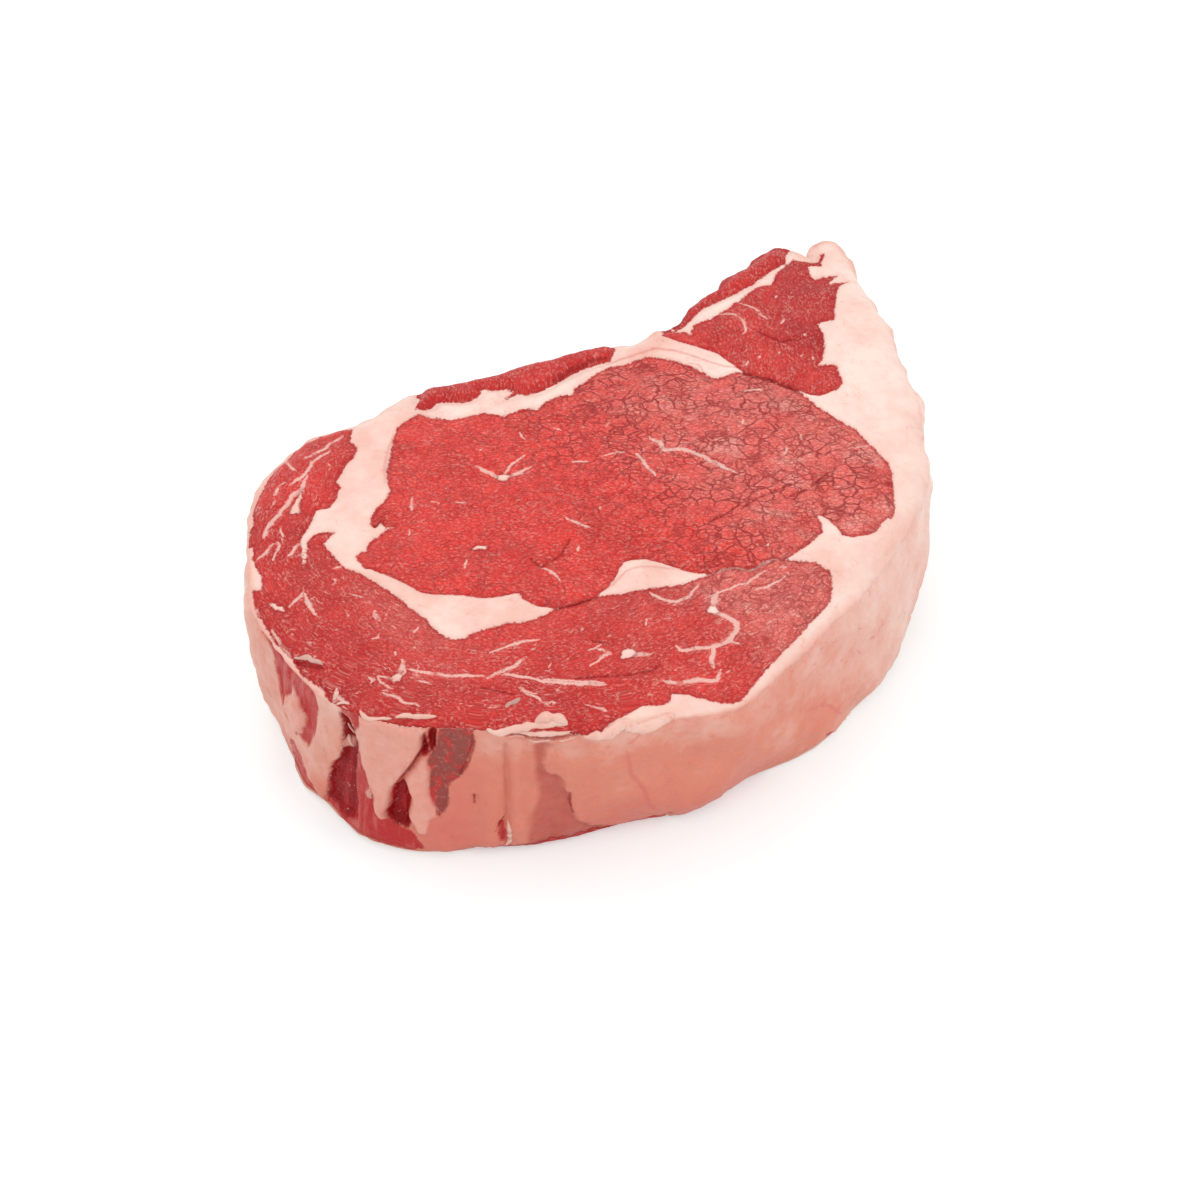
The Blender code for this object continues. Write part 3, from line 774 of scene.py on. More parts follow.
def line_mask(tree, name, jitter, softness):
    """1 on the lines that line_fields stored under this name, 0 off them."""
    offsets = tree.parts(tree.attribute(name + "_offset", "Vector"))
    halves = tree.parts(tree.attribute(name + "_half", "Vector"))
    mask = 0.0
    for offset, half in zip(offsets, halves):
        depth = tree.math("SUBTRACT", tree.math("ADD", half, jitter), tree.math("ABSOLUTE", offset))
        mask = tree.math("MAXIMUM", mask, tree.step(depth, -softness, softness))
    return mask


def steak_material(colours):
    """The whole steak: lean and fat of the cut faces, marbling, seams and the layers of the wall."""
    material, tree = new_material("steak")
    place = place_in_mm(tree)
    flow = tree.attribute("flow", "Vector")
    # The third number of lean_zone is the painted sheen, which also lowers the roughness.
    depth, crazing, gloss_and_painted_sheen = tree.parts(tree.attribute("lean_zone", "Vector"))
    dark, red, silver = tree.parts(tree.attribute("wall_reds", "Vector"))
    film, pale, pinkness = tree.parts(tree.attribute("wall_fats", "Vector"))
    edge = tree.spread(tree.noise(place, 0.85, 3.0, 0.6), -0.5, 0.5)
    fine_edge = tree.spread(tree.noise(place, 1.9, 2.0), -0.28, 0.28)
    streaks = tree.noise(tree.vector("MULTIPLY", flow, (0.22, 1.0, 1.0)), 0.5, 3.0, 0.6)
    clouds = tree.noise(place, 0.42, 4.0, 0.62)
    specks = tree.noise(place, 1.1, 2.0, 0.6)

    lean_node = tree.add("ShaderNodeGroup", {
        "Flow": flow, "Depth": depth, "Crazing": crazing, "Sheen": gloss_and_painted_sheen, "Lean": colours.lean,
        "Deep": colours.deep_lean, "Pale": colours.fleck_and_painted_sheen, "Crack": colours.crack,
    }, node_tree=bpy.data.node_groups["Raw lean"])
    fat_node = tree.add("ShaderNodeGroup", {
        "Place": place, "Pinkness": pinkness, "Fat": colours.fat, "Pink": colours.fat_pink,
        "Ruddy": colours.fold,
    }, node_tree=bpy.data.node_groups["Raw fat"])

    def patch(depth_in, softness, jitter):
        """1 inside a drawn patch, with an edge that wanders."""
        return tree.step(tree.math("ADD", depth_in, jitter), -softness, softness)

    def share(mask, most):
        """A mask that goes no higher than this."""
        return tree.math("MULTIPLY", mask, most)

    # Fat, then the layers of the wall on it.
    colour = fat_node.outputs["Color"]
    folds = line_mask(tree, "fold", fine_edge, 0.35)
    colour = tree.mix(share(folds, tree.spread(clouds, 0.2, 0.75)), colour, colours.fold)
    film_share = share(patch(film, 0.9, edge), tree.spread(clouds, 0.5, 0.95))
    colour = tree.mix(film_share, colour, colours.film)
    silver_colour = tree.mix(tree.step(clouds, 0.5, 0.62), colours.silverskin, colours.blood)
    silver_colour = tree.mix(share(tree.step(specks, 0.52, 0.72), 0.14), silver_colour, colours.vein)
    silver_share = share(patch(silver, 0.35, edge), 0.9)
    colour = tree.mix(silver_share, colour, silver_colour)
    blood = tree.mix(share(tree.step(streaks, 0.44, 0.66), 0.7), colours.blood, colours.fold)
    red_share = share(patch(red, 0.4, edge), 0.94)
    colour = tree.mix(red_share, colour, blood)
    crevice = tree.mix(tree.step(streaks, 0.45, 0.7), colours.crevice, colours.blood)
    crevice = tree.mix(share(tree.step(specks, 0.64, 0.74), 0.5), crevice, colours.vein)
    dark_share = patch(dark, 0.35, edge)
    colour = tree.mix(dark_share, colour, crevice)
    pale_share = patch(pale, 0.4, edge)
    pale_colour = tree.mix(tree.spread(clouds, 0.15, 1.0), colours.vein, colours.fat_pink)
    colour = tree.mix(share(pale_share, 0.85), colour, pale_colour)

    # Lean over the fat of the cut faces, with a pink edge where the fat thins out.
    lean_depth = tree.attribute("lean")
    wandering = tree.math("ADD", lean_depth, tree.math("ADD", edge, fine_edge))
    lean_share = tree.step(wandering, -0.20, 0.16)
    colour = tree.mix(share(tree.step(wandering, -1.1, 0.0), 0.45), colour, colours.vein)
    lean_colour = lean_node.outputs["Color"]
    veins = line_mask(tree, "vein", tree.math("MULTIPLY", fine_edge, 1.3), 0.2)
    veins = share(veins, tree.step(clouds, 0.26, 0.5))
    threads = tree.math("ABSOLUTE", tree.math("SUBTRACT", tree.noise(
        tree.vector("MULTIPLY", flow, (0.35, 1.0, 1.0)), 0.42, 2.0, 0.55), 0.5))
    threads = share(tree.step(threads, 0.022, 0.004), tree.step(clouds, 0.54, 0.66))
    threads = share(threads, tree.step(tree.attribute("threads"), 0.1, 0.9))
    veins = tree.math("MAXIMUM", veins, share(threads, 0.75))
    lean_colour = tree.mix(share(veins, 0.88), lean_colour, colours.vein)
    lean_colour = tree.mix(share(tree.step(wandering, 1.1, 0.1), 0.4), lean_colour, colours.deep_lean)
    colour = tree.mix(lean_share, colour, lean_colour)
    cracks = line_mask(tree, "crack", fine_edge, 0.22)
    cracks = share(cracks, tree.step(clouds, 0.28, 0.5))
    colour = tree.mix(share(cracks, 0.7), colour, colours.crack)

    wet = tree.math("MAXIMUM", lean_share, tree.math("MAXIMUM", red_share, dark_share))
    roughness = tree.blend(wet, fat_node.outputs["Roughness"], lean_node.outputs["Roughness"])
    height = tree.blend(lean_share, fat_node.outputs["Height"], lean_node.outputs["Height"])
    height = tree.math("SUBTRACT", height, tree.math("MULTIPLY", cracks, 0.8))
    rough_wall = tree.math("MULTIPLY", tree.attribute("on_wall"), tree.math("ADD", streaks, wet))
    height = tree.math("ADD", height, tree.math("MULTIPLY", rough_wall, specks))
    moist_shader(tree, colour, roughness, height)
    return material


# ---------------------------------------------------------------------------------------------------
# The steak's mesh
# ---------------------------------------------------------------------------------------------------

SHOWN_WALL = (-112.0, 110.0)        # mm along the wall, where its layers are drawn
REFINED_WALL = (-112.0, 62.0)       # mm along the wall, where the mesh is finer
REFINED_ABOVE = 27.0                # mm, the height above which the mesh is finer
SMOOTH_PASSES = 6
UNDERSIDE_SPREAD = 0.045            # the drawings shrink by this share on the way to the underside
HEADING_REACH = 5.0                 # mm each way along the wall, over which its heading is taken
# How far the foot of the wall stands out, in mm, for places along the wall.
FOOT_PUSH = (
    (-114, 0), (-98, 0.4), (-90, 2.6), (-84, 1.7), (-74, 2.8), (-26, 3.2), (-17, 5.4), (-10, 6.4),
    (2, 3.6), (12, 3.3), (24, 4.4), (34, 3.2), (44, 2.6), (53, 1.8), (62, -0.6), (72, -2.2), (84, -2.6),
    (98, -0.3), (110, 0),
)
WARP_BELOW = 2.6                    # mm, how far seams wander between the upper and the lower face


def object_from_bmesh(name, built):
    """A new object with this bmesh, in the scene."""
    mesh = bpy.data.meshes.new(name)
    built.to_mesh(mesh)
    built.free()
    piece = bpy.data.objects.new(name, mesh)
    bpy.context.scene.collection.objects.link(piece)
    return piece


def bake_modifiers(piece):
    """Turns the object's modifiers into plain mesh and takes them off."""
    graph = bpy.context.evaluated_depsgraph_get()
    plain = bpy.data.meshes.new_from_object(piece.evaluated_get(graph), depsgraph=graph)
    piece.modifiers.clear()
    before = piece.data
    piece.data = plain
    bpy.data.meshes.remove(before)
    plain.name = piece.name


def cad_solid():
    """The CAD solid as one joined bmesh."""
    solid = bmesh.new()
    solid.from_mesh(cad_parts[CAD_NODE].data)
    bmesh.ops.remove_doubles(solid, verts=solid.verts, dist=1e-6)
    return solid


def wall_outline():
    """The solid's outline at WALL_LEVEL on the plan, anticlockwise from WALL_START."""
    solid = cad_solid()
    geometry = solid.verts[:] + solid.edges[:] + solid.faces[:]
    cut = bmesh.ops.bisect_plane(
        solid, geom=geometry, plane_co=(0, 0, WALL_LEVEL * MM), plane_no=(0, 0, 1),
    )["geom_cut"]
    links = {}
    for edge in cut:
        if isinstance(edge, bmesh.types.BMEdge):
            first, second = edge.verts
            links.setdefault(first, []).append(second)
            links.setdefault(second, []).append(first)
    first = next(iter(links))
    loop = [first]
    before, here = None, first
    while True:
        onward = [corner for corner in links[here] if corner is not before]
        before, here = here, onward[0]
        if here is first:
            break
        loop.append(here)
    outline = np.array([corner.co.xy for corner in loop]) / MM + PLAN_ORIGIN
    solid.free()
    following = np.roll(outline, -1, axis=0)
    turned = np.sum(outline[:, 0] * following[:, 1] - outline[:, 1] * following[:, 0])
    if turned < 0:
        outline = outline[::-1]
    nearest = np.argmin(np.hypot(*(outline - WALL_START).T))
    return np.roll(outline, -nearest, axis=0)


def walked_round(outline):
    """The outline closed up, and how far along it each of its corners is."""
    corners = np.vstack((outline, outline[:1]))
    return corners, np.concatenate(([0], np.cumsum(np.hypot(*np.diff(corners, axis=0).T))))


def length_round(outline):
    return np.sum(np.hypot(*(np.roll(outline, -1, axis=0) - outline).T))


def from_start(along, around):
    """Places along the outline, counted from its start: up to half way round either way."""
    return np.where(along > around / 2, along - around, along)


class Places:
    """Where each mesh point lies on the drawings."""

    def __init__(self, points, normals, outline):
        self.points = points / MM
        self.normals = normals
        self.height = self.points[:, 2]
        self.plan = self.points[:, :2] + PLAN_ORIGIN
        distance, side, along = nearest_on_line(self.plan, outline, closed=True)
        self.inset = distance * np.where(side < 0, -1, 1)
        self.around = length_round(outline)
        self.along = from_start(along, self.around)
        self.unrolled = np.column_stack((self.along, self.height))
        self.down = ease(0, 1, (31 - self.height) / 31)
        self.wall = 1 - ease(0.30, 0.72, np.abs(normals[:, 2]))
        in_run = ease(SHOWN_WALL[0] - 4, SHOWN_WALL[0] + 2, self.along)
        in_run *= 1 - ease(SHOWN_WALL[1] - 4, SHOWN_WALL[1] + 4, self.along)
        self.shown_wall = self.wall * in_run
        wander = np.column_stack((
            soft_noise(self.points, 22, 3), soft_noise(self.points, 22, 4),
        ))
        fine = np.column_stack((
            soft_noise(self.points, 7, 5), soft_noise(self.points, 7, 6),
        ))
        down = self.down[:, None]
        self.drawn = self.plan * (1 + UNDERSIDE_SPREAD * down) + wander * WARP_BELOW * down
        self.drawn += fine * 0.7 * down

    def outward(self, outline):
        """For each point, the level direction that leads straight out of the nearest wall."""
        corners, walked = walked_round(outline)

        def on_outline(along):
            along = along % walked[-1]
            return np.column_stack([np.interp(along, walked, axis) for axis in corners.T])

        run = on_outline(self.along + HEADING_REACH) - on_outline(self.along - HEADING_REACH)
        run /= np.maximum(np.hypot(*run.T), 1e-6)[:, None]
        return np.column_stack((run[:, 1], -run[:, 0]))


def smooth(built):
    """Moves each point half way to the middle of its neighbours."""
    bmesh.ops.smooth_vert(
        built, verts=built.verts, factor=0.5, use_axis_x=True, use_axis_y=True, use_axis_z=True,
    )


def rough_body(shape):
    """The solid grown into an even mesh, with its shown sides refined, and its points smoothed."""
    piece = object_from_bmesh("steak_body", cad_solid())
    remesh = piece.modifiers.new("even mesh", "REMESH")
    remesh.mode = "VOXEL"
    remesh.voxel_size = shape.voxel
    bake_modifiers(piece)
    built = bmesh.new()
    built.from_mesh(piece.data)
    for _ in range(SMOOTH_PASSES):
        smooth(built)
    outline = wall_outline()
    centres = np.array([face.calc_center_median() for face in built.faces]) / MM
    distance, _, along = nearest_on_line(centres[:, :2] + PLAN_ORIGIN, outline, closed=True)
    along = from_start(along, length_round(outline))
    on_wall = (distance < 3) & (centres[:, 2] > 3) & (along > REFINED_WALL[0]) & (along < REFINED_WALL[1])
    refined = (centres[:, 2] > REFINED_ABOVE) | on_wall
    chosen = set()
    for face, wanted in zip(built.faces, refined):
        if wanted:
            chosen.update(face.edges)
    bmesh.ops.subdivide_edges(built, edges=list(chosen), cuts=1, use_grid_fill=True, smooth=0.0)
    for _ in range(2):
        smooth(built)
    bmesh.ops.triangulate(built, faces=built.faces)
    built.to_mesh(piece.data)
    built.free()
    return piece, outline


def read_points(mesh):
    """The mesh's points and their normals."""
    points = np.empty(len(mesh.vertices) * 3)
    mesh.vertices.foreach_get("co", points)
    normals = np.empty(len(mesh.vertices) * 3)
    mesh.vertex_normals.foreach_get("vector", normals)
    return points.reshape(-1, 3), normals.reshape(-1, 3)


def store(mesh, name, values):
    """Stores one number or one vector for each point of the mesh."""
    kind = "FLOAT" if values.ndim == 1 else "FLOAT_VECTOR"
    layer = mesh.attributes.new(name, kind, "POINT")
    layer.data.foreach_set("value" if values.ndim == 1 else "vector", values.astype(np.float32).ravel())


def bell(value, middle, width):
    """1 at the middle, falling away to 0 on both sides."""
    return np.exp(-((value - middle) / width) ** 2)


def lean_fields(places):
    """Depth into the lean for each point, and into each of its muscles."""
    muscles = [depth_inside(places.drawn, (muscle,)) for muscle in LEAN]
    lean = np.max(muscles, axis=0)
    lean = np.minimum(lean, -depth_inside(places.drawn, FAT_PATCHES))
    x, y = places.plan.T
    skin = ease(-28, -36, x) * ease(16, 24, y) * (1 - places.down)
    margin = places.inset - 0.9 + 0.8 * soft_noise(places.points, 3.5, 13)
    lean = np.where(skin > 0.5, np.minimum(lean, margin), lean)
    hidden_wall = places.wall * (1 - places.shown_wall)
    lean -= hidden_wall * (0.6 + 1.6 * soft_noise(places.points * (1, 1, 0.5), 8, 12))
    # The wall at the left back is plain fat.
    lean -= 9 * places.wall * ease(-110, -116, places.along) * ease(-184, -172, places.along)
    lean = np.clip(lean, -DRAWN_CLAMP * 2, DRAWN_CLAMP * 3)
    over_rim = ease(0.5, 0.75, places.shown_wall)
    return lean * (1 - over_rim) - 3 * over_rim, muscles


def flow_field(places, muscles):
    """Coordinates in mm that run along the muscle fibres, then across them."""
    turn = math.radians(-39)
    along = places.drawn @ (math.cos(turn), math.sin(turn))
    across = places.drawn @ (-math.sin(turn), math.cos(turn))
    flow = np.column_stack((along, across, places.height * 0.5))
    distance, side, run = nearest_on_line(places.drawn, CAP_SPINE)
    cap = np.column_stack((run, distance * side + 100, places.height * 0.5))
    turn = math.radians(55)
    tail = np.column_stack((
        places.drawn @ (math.cos(turn), math.sin(turn)) + 200,
        places.drawn @ (-math.sin(turn), math.cos(turn)), places.height * 0.5,
    ))
    best = np.argmax(muscles, axis=0)
    flow[best == 1] = cap[best == 1]
    flow[best >= 2] = tail[best >= 2]
    on_wall = places.wall > 0.6
    wall = np.column_stack((places.height + 300, places.along, np.zeros(len(flow))))
    flow[on_wall] = wall[on_wall]
    return flow


def lean_zones(places, muscles):
    """How deep and how crazed the lean is, and how much painted pale sheen it has, which also makes it
    glossier, from 0 to 1.
    """
    x, y = places.drawn.T
    eye, cap, tail, strip, back = (ease(-0.6, 0.6, muscle) for muscle in muscles)
    depth = eye * (0.06 + 0.10 * ease(10, 44, x) + 0.08 * ease(-10, -50, x))
    left = ease(-30, -66, x)
    depth = np.maximum(depth, cap * (0.30 + 0.20 * left))
    depth -= cap * 0.22 * bell(x, -56, 9) * bell(y, 46, 8)
    depth = np.maximum(depth, tail * (0.38 + 0.3 * ease(48, 60, x)))
    depth = np.maximum(depth, np.maximum(strip, back) * 0.5)
    depth += 0.12 * soft_noise(places.points, 12, 21)
    crazing = eye * (0.35 + 0.65 * ease(-22, 8, x)) + cap * (0.12 + 0.6 * ease(-22, -4, x)) + tail * 0.25
    crazing += 0.15 * soft_noise(places.points, 9, 22)
    # Painted sheen: the right of the eye and of the cap, and a spot on the cap's left, are made paler where
    # the lamp's highlight lies.
    eye_painted_sheen = 1.05 * eye * ease(-4, 20, x) * (1 - 0.5 * bell(y, 28, 8))
    cap_painted_sheen = cap * (0.15 * ease(-44, -20, x) + 1.9 * ease(-14, 2, x))
    cap_painted_sheen += 0.5 * cap * bell(x, -57, 7) * bell(y, 0, 14)
    gloss_and_painted_sheen = np.maximum(eye_painted_sheen, cap_painted_sheen)
    gloss_and_painted_sheen *= 0.8 + 0.3 * soft_noise(places.points, 8, 23)
    return np.clip(np.column_stack((depth, crazing, gloss_and_painted_sheen)), 0, 1)


def lean_threads(muscles):
    """Where fine threads of fat run through the lean: 1 in the cap, less in the other muscles."""
    eye, cap, tail, _, back = (ease(-0.6, 0.6, muscle) for muscle in muscles)
    return np.clip(cap + 0.3 * eye + 0.5 * tail + 0.5 * back, 0, 1)


def wall_fields(places):
    """Depths into the wall's drawn patches, and how pink its fat is."""
    off_wall = (1 - ease(0.15, 0.5, places.shown_wall)) * FAR
    wander = np.column_stack((
        soft_noise(places.points, 4, 31), soft_noise(places.points, 4, 32),
    )) * 0.5
    spots = places.unrolled + wander
    patches = []
    for drawing in (WALL_DARK, WALL_RED, WALL_SILVER, WALL_FILM, WALL_PALE):
        depth = depth_inside(spots, drawing) - off_wall
        patches.append(np.clip(depth, -DRAWN_CLAMP, DRAWN_CLAMP))
    along = places.along
    x, y = places.plan.T
    tint = 1.08 - 0.64 * ease(-6, 62, along) - 0.2 * ease(60, 90, along)
    tint += 0.25 * bell(along, -58, 9) + 0.4 * bell(along, -106, 5) * ease(20, 30, places.height)
    tint += 0.2 * ease(16, 4, places.height) * ease(60, 20, along)
    tint -= 0.35 * ease(-66, -76, along)
    tint += (0.5 - tint) * ease(-100, -124, along)
    tint = np.where(along > 110, 0.38 + 0.2 * ease(110, 150, along), tint)
    wall = 1 - ease(0.35, 0.85, places.normals[:, 2])
    pinkness = wall * tint * (1 - 0.25 * ease(18, 31, places.height))
    on_top = 0.10 + 0.55 * bell(x, 30, 8) * bell(y, 33.5, 3.5) + 0.12 * bell(x, -14, 10) * bell(y, -18, 5)
    on_top += 0.5 * bell(x, 76, 3) * bell(y, 38, 4) + 0.2 * bell(x, 30, 16) * bell(y, -40, 5)
    on_top += 0.4 * ease(2.5, 0.6, places.inset) * ease(-28, -36, x) + 0.16 * ease(0, -36, x)
    pinkness += (1 - wall) * on_top
    pinkness += 0.10 * soft_noise(places.points, 10, 33)
    under = ease(0.5, 0.9, -places.normals[:, 2])
    pinkness = pinkness * (1 - under) + 0.25 * under
    return patches, np.clip(pinkness, 0, 1.6)


def relief(places, lean, muscles, patches, lines, shape):
    """How far each point moves out along its normal, in mm."""
    upper = ease(0.45, 0.85, places.normals[:, 2])
    under = ease(0.6, 0.95, -places.normals[:, 2])
    wall = places.shown_wall
    mass = 1 - under
    waves = shape.waviness / MM
    out = soft_noise(places.points, 15, 41) * waves * 0.8
    out += soft_noise(places.points, 6.5, 42) * waves * 0.38
    is_lean = ease(-0.4, 0.4, lean)
    out += soft_noise(places.points, 3.0, 43) * 0.12 * (0.4 + 0.6 * is_lean)
    out += soft_noise(places.points, 1.6, 44) * 0.05 * is_lean
    doming = shape.doming / MM
    face = 1 - places.wall
    out += face * is_lean * (doming * (1 - np.exp(-np.maximum(lean, 0) / 3.0)) - doming * 0.6)
    out -= face * shape.seam_depth / MM * 0.6 * bell(lean, 0.1, 0.45)
    vein_offset, vein_half, crack_offset, crack_half = lines
    for offset, half in zip(vein_offset.T, vein_half.T):
        out += face * 0.05 * np.exp(-(offset / 0.5) ** 2) * (half > 0)
    for offset, half in zip(crack_offset.T, crack_half.T):
        out -= shape.crack_depth / MM * np.exp(-(offset / 0.45) ** 2) * (half > 0)
    eye, _, _, strip, back = muscles
    out += upper * 0.7 * ease(0, 14, eye)
    out += upper * 0.8 * ease(0, 2.2, back) - upper * 0.7 * bell(back, -0.6, 0.8)
    out += upper * 0.4 * ease(0, 2.5, strip) - upper * 0.5 * bell(strip, -0.5, 0.7)
    lens = np.hypot((places.plan[:, 0] + 14) / 9, (places.plan[:, 1] + 17.5) / 2.6)
    out += upper * 0.5 * np.exp(-lens**2)

    dark, red, silver, film, pale = patches
    step = shape.wall_step / MM
    along, height = places.along, places.height
    marks = -1.7 * step * ease(-0.4, 1.2, dark) - 0.45 * step * ease(-0.4, 0.6, red)
    marks += 0.75 * step * ease(-0.3, 0.7, pale) - 0.3 * step * ease(-0.3, 0.8, silver)
    marks -= 0.55 * step * ease(-0.25, 0.25, film) * ease(-42, -38, along)
    marks += 0.9 * bell(along, -43.6, 1.1) * ease(3, 8, height) * (1 - ease(28, 31, height))
    marks -= 0.8 * bell(along, -45.4, 0.45) * ease(5, 9, height) * (1 - ease(29, 31, height))
    folds = soft_noise(np.column_stack((along / 3.2, height / 20, 0 * along)), 1.0, 45)
    marks += 0.45 * folds * ease(-20, -40, along)
    slant = np.column_stack(((along + height * 0.55) / 9, (height - along * 0.35) / 22, 0 * along))
    marks += 0.55 * soft_noise(slant, 1.0, 46) * ease(-34, -20, along)
    marks += 0.16 * soft_noise(places.points, 2.2, 47)
    out += wall * marks
    hidden = places.wall * (1 - wall)
    ridges = np.column_stack((along / 5, height / 16, 0 * along))
    out += hidden * 0.6 * soft_noise(ridges, 1.0, 48)
    out -= places.wall * (1.3 * bell(along, 82, 9) * ease(30, 18, height) + 0.8 * bell(along, -100, 11))
    out += places.wall * 1.4 * bell(along, 98, 6) * ease(18, 28, height)
    out -= places.wall * 1.1 * bell(along, -126, 9)
    out += 0.45 * places.wall * ease(22, 28, height) * (1 - places.shown_wall)
    out += 0.5 * places.wall * ease(22, 28, height) * ease(140, 150, along) * ease(218, 205, along)
    rim = bell(height, 31.5, 2.4) * places.wall
    out += rim * 0.3 * soft_noise(places.points, 2.6, 49)
    return out * mass


# The steak's own unwrapping: the upper face, three runs of wall and the underside on one square.
SHEET = 1024
TOP_SCALE, WALL_SCALE, UNDER_SCALE = 5.25, 3.45, 2.85
WALL_RUNS = (-116.0, 35.0, 186.0)
WALL_LANES = (6, 146, 286)
WALL_LANE_HEIGHT = 128
TOP_CORNER = (80, 428)
UNDER_CORNER = (546, 8)


def unwrap(mesh, places):
    """Gives the mesh its own UV map, so that a pattern baked on it stays even."""
    corners = np.empty(len(mesh.loops), dtype=np.int64)
    mesh.loops.foreach_get("vertex_index", corners)
    triangles = corners.reshape(-1, 3)
    height = places.height[triangles].mean(axis=1)
    inset = places.inset[triangles].mean(axis=1)
    tilt = places.normals[triangles, 2].mean(axis=1)
    top = (height > 24) & ((inset > 2) | (tilt > 0.8))
    under = (height < 4) & (tilt < -0.6)
    wall = ~(top | under)
    low = places.points[:, :2].min(axis=0)
    flat = places.points[:, :2] - low
    chart = np.zeros((len(triangles), 3, 2))
    chart[top] = flat[triangles[top]] * TOP_SCALE + TOP_CORNER
    mirrored = flat * (-1, 1) + (flat[:, 0].max(), 0)
    chart[under] = mirrored[triangles[under]] * UNDER_SCALE + UNDER_CORNER
    climb = places.height + places.inset * (2 * ease(8, 26, places.height) - 1)
    climb = climb[triangles[wall]]
    climb = (climb - climb.min()) / (climb.max() - climb.min())
    along = places.along[triangles[wall]]
    middle = along[:, :1]
    along = along + places.around * np.round((middle - along) / places.around)
    centre = along.mean(axis=1)
    shift = np.where(centre < WALL_RUNS[0], places.around, 0)
    along += shift[:, None]
    centre += shift
    run = np.searchsorted(WALL_RUNS, centre, side="right") - 1
    starts = np.array(WALL_RUNS)[run]
    lanes = np.array(WALL_LANES)[run]
    chart[wall, :, 0] = (along - starts[:, None]) * WALL_SCALE + 8
    chart[wall, :, 1] = climb * WALL_LANE_HEIGHT + lanes[:, None]
    layer = mesh.uv_layers.new(name="OFBake")
    layer.data.foreach_set("uv", (chart / SHEET).astype(np.float32).ravel())


def finish_body(piece, outline, shape):
    """Moves the points into relief and stores what the material reads."""
    mesh = piece.data
    points, normals = read_points(mesh)
    places = Places(points, normals, outline)
    lean, muscles = lean_fields(places)
    patches, pinkness = wall_fields(places)
    flow = flow_field(places, muscles)
    wander = np.column_stack((
        soft_noise(points / MM, 2.4, 51), soft_noise(points / MM, 2.4, 52),
    ))
    vein_offset, vein_half = line_fields(places.drawn + wander * 0.35, VEINS)
    crack_offset, crack_half = line_fields(places.drawn, CRACKS)
    slit_offset, slit_half = line_fields(places.unrolled, WALL_SLITS)
    fold_offset, fold_half = line_fields(places.drawn, FAT_FOLDS)
    vessel_offset, vessel_half = line_fields(places.unrolled, WALL_VESSELS)
    on_wall = places.shown_wall[:, None] > 0.5
    crack_offset = np.where(on_wall, slit_offset, crack_offset)
    crack_half = np.where(on_wall, slit_half, crack_half)
    fold_offset = np.where(on_wall, vessel_offset, fold_offset)
    fold_half = np.where(on_wall, vessel_half, fold_half)
    for name, values in (
        ("lean", lean), ("flow", flow), ("lean_zone", lean_zones(places, muscles)),
        ("wall_reds", np.column_stack(patches[:3])),
        ("wall_fats", np.column_stack((*patches[3:], pinkness))),
        ("on_wall", places.wall), ("threads", lean_threads(muscles)),
        ("vein_offset", vein_offset), ("vein_half", vein_half),
        ("crack_offset", crack_offset), ("crack_half", crack_half),
        ("fold_offset", fold_offset), ("fold_half", fold_half),
    ):
        store(mesh, name, values)
    lines = (vein_offset, vein_half, crack_offset, crack_half)
    out = relief(places, lean, muscles, patches, lines, shape)
    push = np.interp(places.along, *zip(*FOOT_PUSH)) * ease(20, 1, places.height) * ease(16, 3, places.inset)
    moved = places.points + places.normals * out[:, None]
    moved[:, :2] += places.outward(outline) * push[:, None]
    moved *= MM
    moved[:, 2] = np.maximum(moved[:, 2], 0)
    mesh.vertices.foreach_set("co", moved.ravel())
    unwrap(mesh, places)
    mesh.shade_smooth()
    mesh.update()
    bad = mesh.validate()
    if bad:
        raise RuntimeError("The steak's mesh needed repairs")


# ---------------------------------------------------------------------------------------------------
# Strips of fat along paths
# ---------------------------------------------------------------------------------------------------


